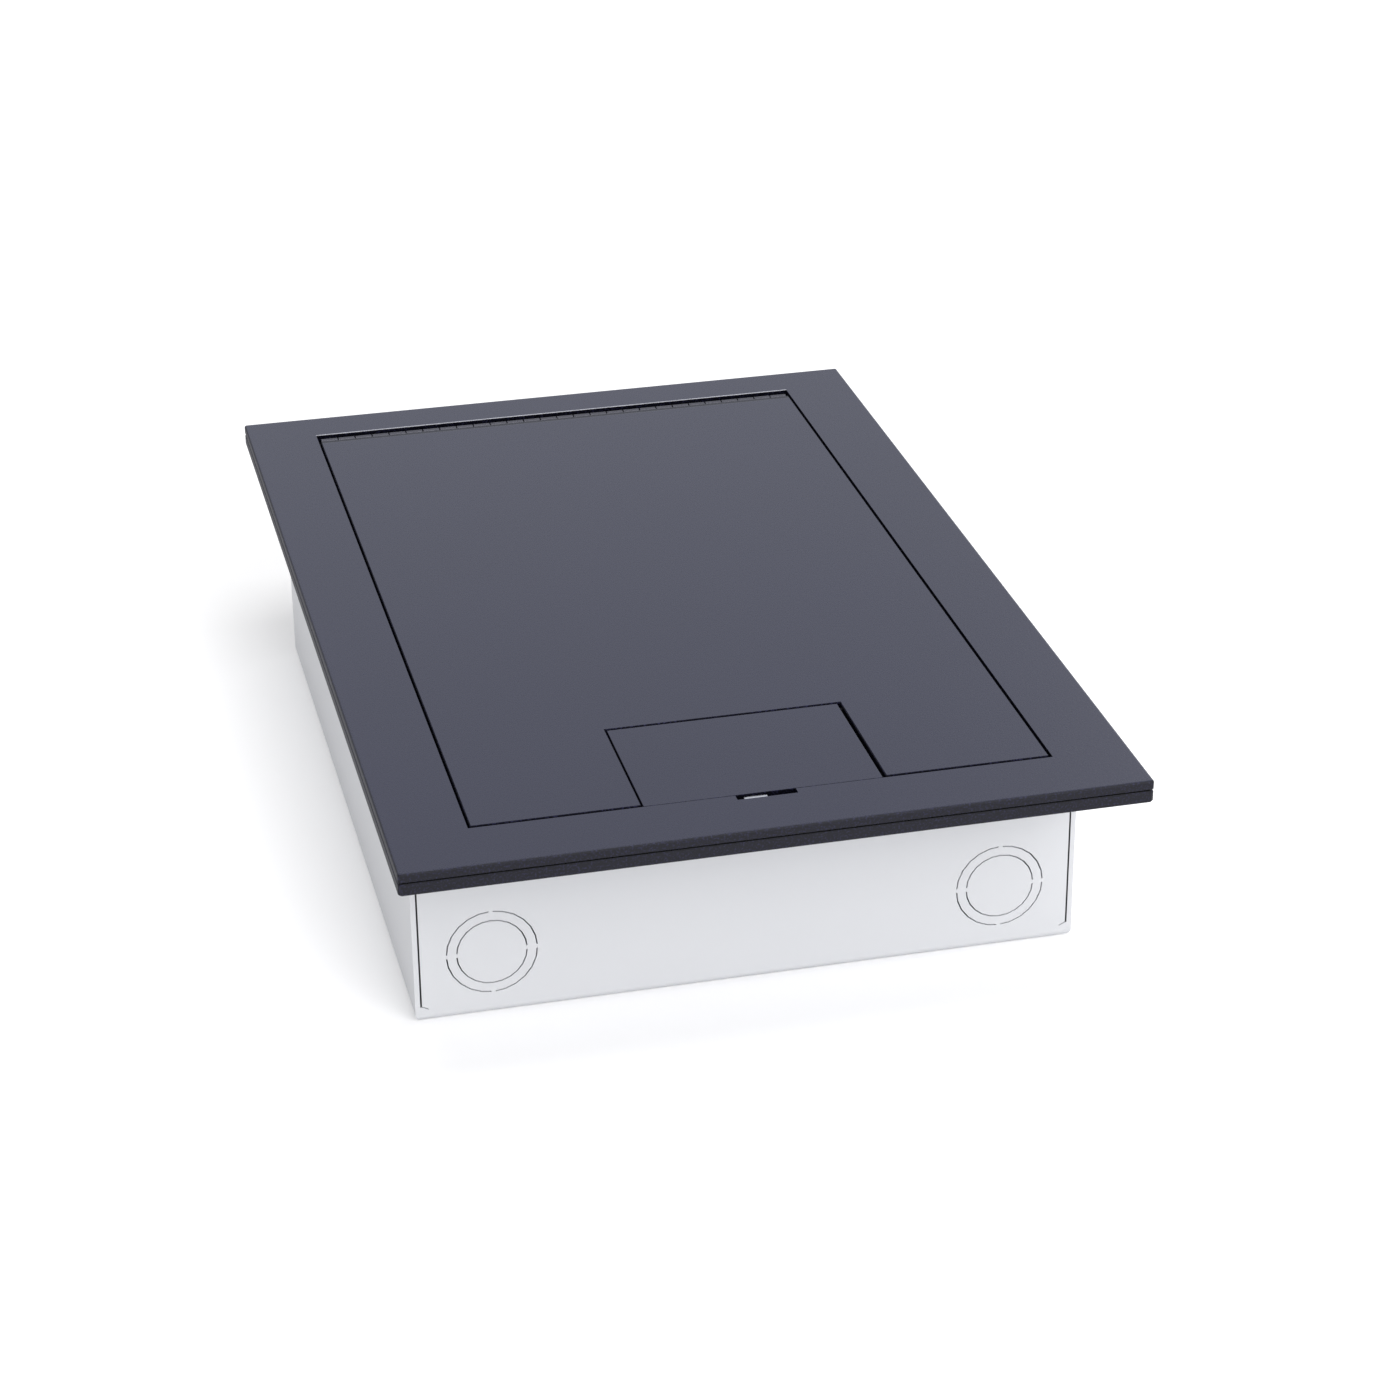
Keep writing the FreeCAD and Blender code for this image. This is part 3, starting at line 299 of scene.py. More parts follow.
class MetalSettings(bpy.types.PropertyGroup):
    steel: colour_property("Steel", "Bare steel of the hinge", (0.095, 0.094, 0.106))
    black: colour_property("Black", "Blackened steel of the flap's pins and clip", (0.006, 0.006, 0.007))
    zinc: colour_property("Zinc", "Zinc plate on sheet and screws", (0.60, 0.61, 0.62))
    brass: colour_property("Brass", "Contacts, terminals and earth stud", (0.72, 0.50, 0.22))
    gold: colour_property("Gold", "Plate on the data ports' contact wires", (0.95, 0.68, 0.30))


class MouldingSettings(bpy.types.PropertyGroup):
    white: colour_property("White", "Accessory plates, rockers and modules", (0.82, 0.82, 0.80))
    grey: colour_property("Grey", "Housing and shutters behind the plates", (0.16, 0.17, 0.18))
    rubber: colour_property("Rubber", "Pads on the ledge", (0.018, 0.018, 0.018))
    flag: colour_property("Flag", "Band on the rockers that shows when on", (0.55, 0.02, 0.02))
    flag_inset: length_property("Flag inset", "From a rocker's end to the middle of its band", 0.0026)
    flag_width: length_property("Flag width", "Width of the band", 0.0018)
    flag_length: length_property("Flag length", "Length of the band across the rocker", 0.0084)


class TrimSettings(bpy.types.PropertyGroup):
    lid_gap: length_property("Side gap", "Gap between the lid's sides and the frame", 0.0008)
    front_gap: length_property("Front gap", "Gap between the lid's front edge and the frame", 0.001)
    back_gap: length_property("Back gap", "From the hinge's axis to the frame's inner back edge", 0.00355)
    slot_length: length_property("Slot length", "Length of the latch slot", 0.0175)
    slot_width: length_property("Slot width", "Width of the latch slot", 0.0026)
    corner: length_property("Corner", "Radius of the plate's corners", 0.0008)
    top_edge: length_property("Top edge", "Radius of the plate's outer top edge", 0.0007)
    foot_edge: length_property("Foot edge", "Radius of the plate's lower edge", 0.0002)
    slit: length_property("Slit", "Height of the slit between the two flange plates", 0.00042)
    slit_depth: length_property("Slit depth", "Depth of the slit between the flange plates", 0.0014)


class FlapSettings(bpy.types.PropertyGroup):
    shift: length_property("Shift", "How far the flap sits to the left of its notch's middle", 0.0004)
    corner: length_property("Corner", "Radius of the flap's corners", 0.0002)
    edge: length_property("Edge", "Radius of the flap's edges", 0.0002)


class HingeSettings(bpy.types.PropertyGroup):
    pairs: IntProperty(name="Pairs", description="Pairs of knuckles along the barrel", default=14, min=1)
    steps: IntProperty(name="Steps", description="Flats round a rolled knuckle", default=34, min=8)
    leaf: length_property("Leaf", "Thickness of the leaves", 0.0008)
    bore: length_property("Bore", "Radius inside a knuckle", 0.00105)
    play: length_property("Play", "Gap between two knuckles", 0.0004)
    root: length_property("Root", "From the hinge's axis to the flat of a leaf", 0.00215)
    sweep: FloatProperty(
        name="Sweep", description="How far a knuckle is rolled round the pin", default=math.radians(292),
        subtype="ANGLE",
    )


class ScrewSettings(bpy.types.PropertyGroup):
    steps: IntProperty(name="Steps", description="Sides of a screw's head", default=36, min=12)
    recess: length_property("Recess", "Depth of the driver's recess", 0.0009)
    cross: length_property("Cross", "Width of a cross recess's arms", 0.0008)


class PortSettings(bpy.types.PropertyGroup):
    pitch: length_property("Pitch", "Spacing of the contacts in a data port", 0.00102)
    wire: length_property("Wire", "Width of a contact", 0.00035)
    count: IntProperty(name="Count", description="Contacts in each port", default=8, min=1)


class StageSettings(bpy.types.PropertyGroup):
    azimuth: FloatProperty(
        name="Azimuth", description="Camera's turn about the vertical", default=math.radians(-13.534),
        subtype="ANGLE",
    )
    elevation: FloatProperty(
        name="Elevation", description="Camera's height above the horizon", default=math.radians(26.626),
        subtype="ANGLE",
    )
    roll: FloatProperty(
        name="Roll", description="Camera's tilt about its own axis", default=math.radians(-0.469),
        subtype="ANGLE",
    )
    distance: length_property("Distance", "Camera's distance from its aim", 1.13425)
    aim: FloatVectorProperty(
        name="Aim", description="Point the camera looks at", default=(0.01795, 0.00809, 0.02407),
        subtype="XYZ", unit="LENGTH",
    )
    lens: FloatProperty(name="Lens", description="Focal length in millimetres", default=89.88, min=1)
    sky: FloatProperty(
        name="Sky", description="Strength of the even light from all round", default=0.507, min=0
    )
    top: FloatProperty(name="Top", description="Power of the softbox overhead", default=10.3, min=0)
    front: FloatProperty(name="Front", description="Power of the high softbox in front", default=7.3, min=0)
    low: FloatProperty(name="Low", description="Power of the low softbox in front", default=7.9, min=0)
    side: FloatProperty(name="Side", description="Power of the softbox at the right", default=5.7, min=0)
    back: FloatProperty(
        name="Back", description="Power of the softbox behind at the right", default=1.8, min=0
    )
    softbox: length_property("Softbox", "Length of a softbox's sides", 1.0)
    floor: colour_property("Floor", "Pale floor", (0.82, 0.82, 0.83))
    reach: length_property("Reach", "From the floor's middle to its edges", 6.0)
    lift: FloatProperty(
        name="Lift", description="How much paler the floor is seen than lights the box", default=1.163, min=1
    )
    near_glow: FloatProperty(
        name="Near glow", description="White added to the floor by the box", default=0.248, min=0
    )
    far_glow: FloatProperty(
        name="Far glow", description="White added to the floor far off", default=0.6, min=0
    )
    glow_edge: length_property("Glow edge", "From the box to where the near glow turns into the far", 0.85)
    glow_blend: length_property("Glow blend", "Width over which the one glow turns into the other", 0.4)
    walls: colour_property("Walls", "Studio walls, as the box mirrors them", (0.885, 0.91, 1.0))


# ---------------------------------------------------------------- screws


class ScrewKind(NamedTuple):
    """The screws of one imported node. Half widths and the head's height are in millimetres."""

    node: str
    columns: int
    rows: int
    head: float
    height: float
    shank: float
    drive: str


SCREWS = (
    ScrewKind("frame_screws", 2, 2, head=3.8, height=2.0, shank=2.0, drive="sunk cross up"),
    ScrewKind("tub_screws", 2, 2, head=3.5, height=2.2, shank=2.0, drive="pan cross up"),
    ScrewKind("lid_hinge_screws", 4, 1, head=2.4, height=0.9, shank=1.2, drive="pan cross up"),
    ScrewKind("carrier_screws", 2, 1, head=3.5, height=2.2, shank=2.0, drive="pan cross down"),
    ScrewKind("socket_plate_screws", 2, 1, head=3.3, height=1.55, shank=1.75, drive="sunk slot down"),
    ScrewKind("data_plate_screws", 2, 1, head=3.3, height=1.55, shank=1.75, drive="sunk slot down"),
)


# ---------------------------------------------------------------- finishes


class CoatFlange(bpy.types.Operator):
    """Powder coat the flange plates, the lid and the cable flap"""

    bl_idname = "floor_box.coat_flange"
    bl_label = "Powder coat"

    def execute(self, context):
        coat = context.scene.floor_box_coat
        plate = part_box("base_frame")[1]
        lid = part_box("lid_plate")[1]
        frame_coat = powder("charcoal_powder_coat", coat, outline=plate, seam=plate.z)
        paint(["base_frame", "trim_frame"], frame_coat)
        paint(["cable_flap"], powder("flap_powder_coat", coat))
        paint(["lid_plate"], powder("lid_powder_coat", coat, rear_edge=lid.y))
        return {"FINISHED"}


# How metallic the coat is on a gap's walls and on the rim. This is painted shade: black metal
# mirrors least, so these walls stay dark.
GAP_SHADE = 0.88
RIM_SHADE = 0.28


def powder(name, coat, outline=None, seam=None, rear_edge=None, highlight_edge=None):
    """Charcoal coat of fine grains, a little uneven over the plate, with painted shade on its walls.

    The walls near an outline are the plate's rim, and all others stand in a gap. All walls are painted
    darker than the top as painted shade, and those in a gap near black. The coat is painted black at a
    seam, as painted shade between two plates. A lid has a black line of painted shade along its rear
    edge by the hinge, and a faint fold in front of it: a bumped groove with painted shade in it. A trim
    plate has a painted highlight along one edge, a band of bright metal that mirrors the sky.
    """
    graph = Graph(name)
    grain = graph.noise(scale=1 / coat.grain, detail=3.0)
    cloud = graph.noise(scale=14.0, detail=3.0)
    speck = grain.step(level=0.62, width=0.16) * 0.55
    top = graph.blend(speck, coat.flange, coat.speck)
    top = graph.blend((cloud - 0.35) * 0.35, top, shade(coat.flange, 1.5))
    # Painted shade: the walls get a much darker colour than the top, with lighter grains.
    wall = graph.blend(grain.step(level=0.58, width=0.12), coat.edge, shade(coat.edge, 6.5))
    flat = graph.level().step(level=0.9, width=0.14)
    colour = graph.blend(flat, wall, top)
    height = grain
    # Painted shade: walls in a gap are made near-black metal that mirrors little, and the rim less so.
    dark = GAP_SHADE
    if outline is not None:
        sides = abs(graph.axis("X")).step(level=outline.x - coat.rim_depth, width=MM)
        ends = abs(graph.axis("Y")).step(level=outline.y - coat.rim_depth, width=MM)
        rim = (sides + ends).clamped()
        dark = GAP_SHADE - rim * (GAP_SHADE - RIM_SHADE)
        if seam is not None:
            # Painted shade between the two plates: a black band along the seam on the rim.
            slit = graph.axis("Z").band(middle=seam, half=coat.seam, soft=coat.seam) * rim
            colour = graph.blend(slit, colour, BLACK)
    metallic = (1.0 - flat) * dark
    if rear_edge is not None:
        # The fold is a groove bumped into the coat with painted shade in it; the rear edge is painted black,
        # as painted shade by the hinge.
        fold = graph.axis("Y").band(middle=rear_edge - coat.fold, half=coat.fold_width / 2, soft=0.3 * MM)
        crease = graph.axis("Y").step(level=rear_edge - coat.crease, width=0.2 * MM)
        colour = graph.blend(fold * 0.9, colour, coat.edge)
        colour = graph.blend(crease, colour, BLACK)
        height = grain - fold * 1.2
        metallic = metallic + fold * 0.7 + crease
    if highlight_edge is not None:
        # Painted highlight: a band of bright, fully metallic coat along the inner back edge, which mirrors
        # the sky.
        near = graph.axis("Y").band(middle=highlight_edge.y, half=coat.highlight_width / 2, soft=0.12 * MM)
        high = graph.axis("Z").step(level=highlight_edge.z - 0.2 * MM, width=0.1 * MM)
        past = abs(graph.axis("X")).step(level=highlight_edge.x, width=0.4 * MM)
        painted_highlight = near * high * (1.0 - past) * graph.noise(scale=220.0).between(0.6, 1.2)
        colour = graph.blend(painted_highlight, colour, coat.bare)
        metallic = metallic + painted_highlight
    rough = grain.between(coat.gloss - 0.1, coat.gloss + 0.1)
    return graph.surface(
        Base_Color=colour,
        Roughness=coat.edge_gloss + (rough - coat.edge_gloss) * flat,
        Metallic=metallic.clamped(),
        IOR=coat.index,
        Normal=graph.bump(height, strength=0.5, distance=coat.grain_depth),
    )


class CoatTub(bpy.types.Operator):
    """Coat the tub in smooth pale grey"""

    bl_idname = "floor_box.coat_tub"
    bl_label = "Tub coat"

    def execute(self, context):
        coat = context.scene.floor_box_coat
        graph = Graph("tub_coat")
        cloud = graph.noise(scale=9.0)
        peel = graph.noise(scale=900.0, detail=1.0)
        # Painted shadow: the coat darkens along the tub's foot, where it meets the floor.
        foot = graph.axis("Z").band(middle=0.0, half=1.2 * MM, soft=1.2 * MM)
        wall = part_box("tub")[1] - Vector((coat.sheet, coat.sheet, 0))
        # Painted shade: a near-black band down each corner slit of the tub, above its foot.
        slit_middle = wall.x - coat.slit_inset
        across = abs(graph.axis("X")).band(middle=slit_middle, half=coat.corner_slit / 2, soft=0.06 * MM)
        outside = abs(graph.axis("Y")).step(level=wall.y, width=0.1 * MM)
        above = graph.axis("Z").step(level=coat.slit_foot, width=0.1 * MM)
        colour = graph.blend(cloud * 0.5, coat.tub, shade(coat.tub, 0.96))
        colour = graph.blend(foot * 0.25, colour, shade(coat.tub, 0.6))
        colour = graph.blend(across * outside * above * 0.95, colour, coat.gap)
        material = graph.surface(
            Base_Color=colour,
            Roughness=cloud.between(0.36, 0.48),
            Normal=graph.bump(peel, strength=0.15, distance=0.02 * MM),
        )
        paint(["tub"], material)
        return {"FINISHED"}


class PlateMetal(bpy.types.Operator):
    """Finish the bare and plated metal: hinge, latch, carrier, screws and brass"""

    bl_idname = "floor_box.plate_metal"
    bl_label = "Metal finishes"

    def execute(self, context):
        metal = context.scene.floor_box_metal
        paint(["accessory_carrier", "compartment_divider"], zinc_sheet(metal))
        steel = drawn_steel("drawn_steel", metal)
        paint(["hinge_leaf_fixed", "hinge_leaf_moving", "hinge_pin"], steel)
        paint(["flap_pivot_left", "flap_pivot_right", "flap_keeper"], blackened(metal))
        paint(["latch_slide"], zinc_screw("latch_zinc", metal))
        contacts = ["socket_contacts", "socket_terminals"]
        paint(contacts + ["earth_stud", "earth_washers", "earth_nuts"], brass(metal))
        paint([kind.node for kind in SCREWS], zinc_screw("zinc_screw", metal))
        return {"FINISHED"}


def zinc_sheet(metal):
    """Galvanised sheet with its crystals."""
    graph = Graph("zinc_sheet")
    crystal = graph.patches(160.0)
    haze = graph.noise(scale=40.0)
    return graph.surface(
        Base_Color=graph.blend(crystal, shade(metal.zinc, 0.85), shade(metal.zinc, 1.15)),
        Metallic=1.0,
        Roughness=crystal.between(0.3, 0.44) + haze * 0.1,
    )


# Streaks in drawn steel, in a metre along the hinge, across it and up.
STREAKS = (60.0, 2600.0, 2600.0)


def drawn_steel(name, metal):
    """Bare steel, drawn along the hinge."""
    graph = Graph(name)
    streak = graph.noise(scale=1.0, place=graph.stretched(STREAKS))
    tone = streak * 0.6 + graph.noise(scale=120.0) * 0.3
    return graph.surface(
        Base_Color=graph.blend(tone, shade(metal.steel, 0.75), shade(metal.steel, 1.2)),
        Metallic=1.0,
        Roughness=streak.between(0.38, 0.54),
        Normal=graph.bump(streak, strength=0.25, distance=0.01 * MM),
    )


def blackened(metal):
    """Steel blacked all over, with a slight mottle."""
    graph = Graph("blackened_steel")
    mottle = graph.noise(scale=700.0, detail=3.0)
    return graph.surface(
        Base_Color=graph.blend(mottle, shade(metal.black, 0.7), shade(metal.black, 1.4)),
        Metallic=1.0,
        Roughness=mottle.between(0.42, 0.62),
    )


def zinc_screw(name, metal):
    """Bright zinc plate."""
    graph = Graph(name)
    mark = graph.noise(scale=900.0)
    return graph.surface(
        Base_Color=graph.blend(mark, shade(metal.zinc, 0.9), shade(metal.zinc, 1.2)),
        Metallic=1.0,
        Roughness=mark.between(0.22, 0.38),
    )


def gold(metal):
    """Thin gold plate on the contact wires."""
    graph = Graph("contact_gold")
    rub = graph.noise(scale=1500.0)
    return graph.surface(
        Base_Color=graph.blend(rub, metal.gold, shade(metal.gold, 0.8)),
        Metallic=1.0,
        Roughness=rub.between(0.2, 0.34),
    )


def brass(metal):
    """Pressed and turned brass, a little dulled."""
    graph = Graph("brass")
    dull = graph.noise(scale=500.0, detail=3.0)
    return graph.surface(
        Base_Color=graph.blend(dull, shade(metal.brass, 0.8), shade(metal.brass, 1.15)),
        Metallic=1.0,
        Roughness=dull.between(0.24, 0.44),
    )


class FinishMouldings(bpy.types.Operator):
    """Finish the plastic and rubber parts inside the box"""

    bl_idname = "floor_box.finish_mouldings"
    bl_label = "Mouldings"

    def execute(self, context):
        moulding = context.scene.floor_box_moulding
        white = moulded("white_moulding", moulding.white, roughness=0.2, grain=0.01 * MM)
        grey = moulded("grey_moulding", moulding.grey, roughness=0.5, grain=0.03 * MM)
        rubber = moulded("rubber", moulding.rubber, roughness=0.75, grain=0.06 * MM)
        modules = [f"data_module_{number}" for number in range(1, 5)]
        paint(["socket_plate", "data_plate"] + modules, white)
        paint(["socket_housing", "socket_shutters"], grey)
        paint(["ledge_pads"], rubber)
        for node in ("rocker_left", "rocker_right"):
            paint([node], self.rocker(node, moulding))
        return {"FINISHED"}

    def rocker(self, node, moulding):
        """White, with a red band by the end that rises when the switch is on."""
        low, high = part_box(node)
        graph = Graph(f"{node}_moulding")
        flow = graph.noise(scale=260.0)
        middle = (low.x + high.x) / 2
        along = graph.axis("Y").band(high.y - moulding.flag_inset, moulding.flag_width / 2, soft=0.15 * MM)
        across = graph.axis("X").band(middle, moulding.flag_length / 2, soft=0.2 * MM)
        white = graph.blend(flow * 0.3, moulding.white, shade(moulding.white, 0.95))
        return graph.surface(
            Base_Color=graph.blend(along * across, white, moulding.flag),
            Roughness=flow.between(0.18, 0.24),
        )


def moulded(name, colour, roughness, grain):
    """A moulded finish with slight flow marks and a fine grain of some height."""
    graph = Graph(name)
    flow = graph.noise(scale=45.0, detail=1.0)
    fine = graph.noise(scale=2600.0)
    return graph.surface(
        Base_Color=graph.blend(flow * 0.4, colour, shade(colour, 0.93)),
        Roughness=flow.between(roughness, roughness + 0.06),
        Normal=graph.bump(fine, strength=0.2, distance=grain),
    )


# ---------------------------------------------------------------- made pieces


def mesh_object(name, shape):
    """Turn a bmesh into an object of the scene."""
    bmesh.ops.recalc_face_normals(shape, faces=shape.faces)
    mesh = bpy.data.meshes.new(name)
    shape.to_mesh(mesh)
    shape.free()
    made = bpy.data.objects.new(name, mesh)
    bpy.context.scene.collection.objects.link(made)
    return made


def fit_piece(name, shape, node, material):
    """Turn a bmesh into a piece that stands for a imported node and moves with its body."""
    made = mesh_object(name, shape)
    made.data.materials.append(material)
    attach(made, *body_of(frame["nodes"][node]))
    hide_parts(node)
    return made


def smooth_round(made, degrees=32):
    """Shade a piece smooth, with its edges above that angle kept sharp."""
    mesh = made.data
    mesh.polygons.foreach_set("use_smooth", [True] * len(mesh.polygons))
    mesh.set_sharp_from_angle(angle=math.radians(degrees))


def loop(shape, corners):
    """A closed loop of edges through some corners."""
    verts = [shape.verts.new(corner) for corner in corners]
    return [shape.edges.new(pair) for pair in zip(verts, verts[1:] + verts[:1])]


def face_at(shape, level):
    """The largest flat face at a level."""
    flat = [face for face in shape.faces if all(abs(vert.co.z - level) < NEAR for vert in face.verts)]
    return max(flat, key=lambda face: face.calc_area())


def push(shape, extruded, along):
    """Move what an extrusion made."""
    ends = [item for item in extruded["geom"] if isinstance(item, bmesh.types.BMVert)]
    bmesh.ops.translate(shape, verts=ends, vec=along)


def soften(shape, edges, radius, segments):
    """Round some edges."""
    bmesh.ops.bevel(
        shape, geom=list(edges), offset=radius, segments=segments, profile=0.5, affect="EDGES", material=-1
    )


def soft_plate(low, high, corner, top_edge, foot_edge):
    """A flat plate with rounded corners and soft edges."""
    shape = bmesh.new()
    outline = [(low.x, low.y), (high.x, low.y), (high.x, high.y), (low.x, high.y)]
    bottom = shape.faces.new([shape.verts.new((x, y, low.z)) for x, y in outline])
    push(shape, bmesh.ops.extrude_face_region(shape, geom=[bottom]), (0, 0, high.z - low.z))
    bmesh.ops.recalc_face_normals(shape, faces=shape.faces)
    posts = [edge for edge in shape.edges if abs(edge.verts[0].co.z - edge.verts[1].co.z) > NEAR]
    soften(shape, posts, corner, segments=5)
    soften(shape, face_at(shape, high.z).edges, top_edge, segments=8)
    soften(shape, face_at(shape, low.z).edges, foot_edge, segments=2)
    return shape


class MakeTrim(bpy.types.Operator):
    """Make the trim plate with soft outer edges and a slit above the base plate"""

    bl_idname = "floor_box.make_trim"
    bl_label = "Trim plate"

    def execute(self, context):
        trim = context.scene.floor_box_trim
        low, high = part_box("trim_frame")
        lid_low, lid_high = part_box("lid_plate")
        pin_low, pin_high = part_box("hinge_pin")
        left, right = lid_low.x - trim.lid_gap, lid_high.x + trim.lid_gap
        front = lid_low.y - trim.front_gap
        back = (pin_low.y + pin_high.y) / 2 + trim.back_gap
        half = trim.slot_length / 2
        slot = front - trim.slot_width
        opening = [
            (left, front), (-half, front), (-half, slot), (half, slot),
            (half, front), (right, front), (right, back), (left, back),
        ]
        shape = self.slab(low, high, trim)
        self.cut_opening(shape, opening, (low.z, high.z))
        # Where the painted highlight runs: the opening's back edge at the top, up to its right end.
        highlight_edge = Vector((right, back, high.z))
        coat = context.scene.floor_box_coat
        material = powder("trim_powder_coat", coat, outline=high, highlight_edge=highlight_edge)
        fit_piece("trim_plate", shape, "trim_frame", material)
        return {"FINISHED"}

    def slab(self, low, high, trim):
        """The plate before its opening is cut, its lower edge set back for the slit."""
        foot = low.z + trim.slit
        shape = soft_plate(Vector((low.x, low.y, foot)), high, trim.corner, trim.top_edge, trim.foot_edge)
        bottom = face_at(shape, foot)
        bmesh.ops.inset_region(shape, faces=[bottom], thickness=trim.slit_depth)
        push(shape, bmesh.ops.extrude_face_region(shape, geom=[bottom]), (0, 0, -trim.slit))
        if bottom.is_valid:
            bmesh.ops.delete(shape, geom=[bottom], context="FACES_ONLY")
        return shape

    def cut_opening(self, shape, outline, levels):
        """Cut the opening through the slab's two flat faces."""
        rims = []
        for level in levels:
            flat = face_at(shape, level)
            outer = list(flat.edges)
            bmesh.ops.delete(shape, geom=[flat], context="FACES_ONLY")
            inner = loop(shape, [(x, y, level) for x, y in outline])
            bmesh.ops.triangle_fill(shape, edges=outer + inner, use_beauty=True, use_dissolve=False)
            rims += inner
        bmesh.ops.bridge_loops(shape, edges=rims)


class MakeFlap(bpy.types.Operator):
    """Make the cable flap, sitting to the left in the play of its pins"""

    bl_idname = "floor_box.make_flap"
    bl_label = "Cable flap"

    def execute(self, context):
        flap = context.scene.floor_box_flap
        low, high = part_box("cable_flap")
        shift = Vector((flap.shift, 0, 0))
        shape = soft_plate(low - shift, high - shift, flap.corner, flap.edge, flap.edge)
        material = powder("soft_flap_powder_coat", context.scene.floor_box_coat)
        fit_piece("soft_flap", shape, "cable_flap", material)
        return {"FINISHED"}


class MakeHinge(bpy.types.Operator):
    """Make the piano hinge's two leaves with their rolled knuckles"""

    bl_idname = "floor_box.make_hinge"
    bl_label = "Piano hinge"

    def execute(self, context):
        hinge = context.scene.floor_box_hinge
        steel = drawn_steel("hinge_steel", context.scene.floor_box_metal)
        for node, side, first in (("hinge_leaf_moving", -1, 0), ("hinge_leaf_fixed", 1, 1)):
            shape = self.leaf(node, side, first, hinge)
            smooth_round(fit_piece(node.replace("hinge_", "piano_"), shape, node, steel))
        return {"FINISHED"}

    def leaf(self, node, side, first, hinge):
        """A leaf whose flat lies to one side of the pin, with every second knuckle from a first one."""
        low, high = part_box(node)
        pin_low, pin_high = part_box("hinge_pin")
        axis = (pin_low + pin_high) / 2
        length = pin_high.x - pin_low.x
        root = axis.y + side * hinge.root
        tip = low.y if side < 0 else high.y
        middle = Vector((axis.x, (root + tip) / 2, low.z + hinge.leaf / 2))
        size = Matrix.Diagonal((length, abs(tip - root), hinge.leaf, 1.0))
        shape = bmesh.new()
        bmesh.ops.create_cube(shape, size=1.0, matrix=Matrix.Translation(middle) @ size)
        pitch = length / (2 * hinge.pairs)
        for place in range(first, 2 * hinge.pairs, 2):
            start = Vector((pin_low.x + place * pitch + hinge.play / 2, axis.y, axis.z))
            self.knuckle(shape, start, pitch - hinge.play, low.z, root, side, hinge)
        return shape

    def knuckle(self, shape, start, length, floor, root, side, hinge):
        """One knuckle: the leaf's sheet carried to below the pin, then rolled round it."""
        under = shape.verts.new((start.x, start.y, floor))
        inside = shape.verts.new((start.x, start.y, start.z - hinge.bore))
        section = shape.edges.new((under, inside))
        bmesh.ops.spin(
            shape, geom=[under, inside, section], cent=start, axis=(1, 0, 0), angle=-side * hinge.sweep,
            steps=hinge.steps,
        )
        tongue = bmesh.ops.extrude_edge_only(shape, edges=[section])
        push(shape, tongue, (0, root - start.y, 0))
        faces = self.joined(under.link_faces[0])
        push(shape, bmesh.ops.extrude_face_region(shape, geom=faces), (length, 0, 0))

    def joined(self, face):
        """A face and all that hang together with it."""
        found = [face]
        for known in found:
            for edge in known.edges:
                found += [near for near in edge.link_faces if near not in found]
        return found


# A pan head's half section: shares of its half width outwards and of its height down.
PAN_HEAD = ((1.0, 1.0), (1.0, 0.55), (0.93, 0.24), (0.78, 0.06))

# The flat top of each head, as a share of its half width, and the upright rim of a sunk one.
PAN_FLAT = 0.62
SUNK_FLAT = 0.8
SUNK_RIM = 0.15 * MM

# A shank's tip: its end's share of the half width, and its height as a share of that too.
TIP_END = 0.55
TIP_HEIGHT = 0.6

# A recess: its arms' share of the flat top, and its foot's share of its mouth.
RECESS_ARM = 0.92
RECESS_FOOT = 0.8


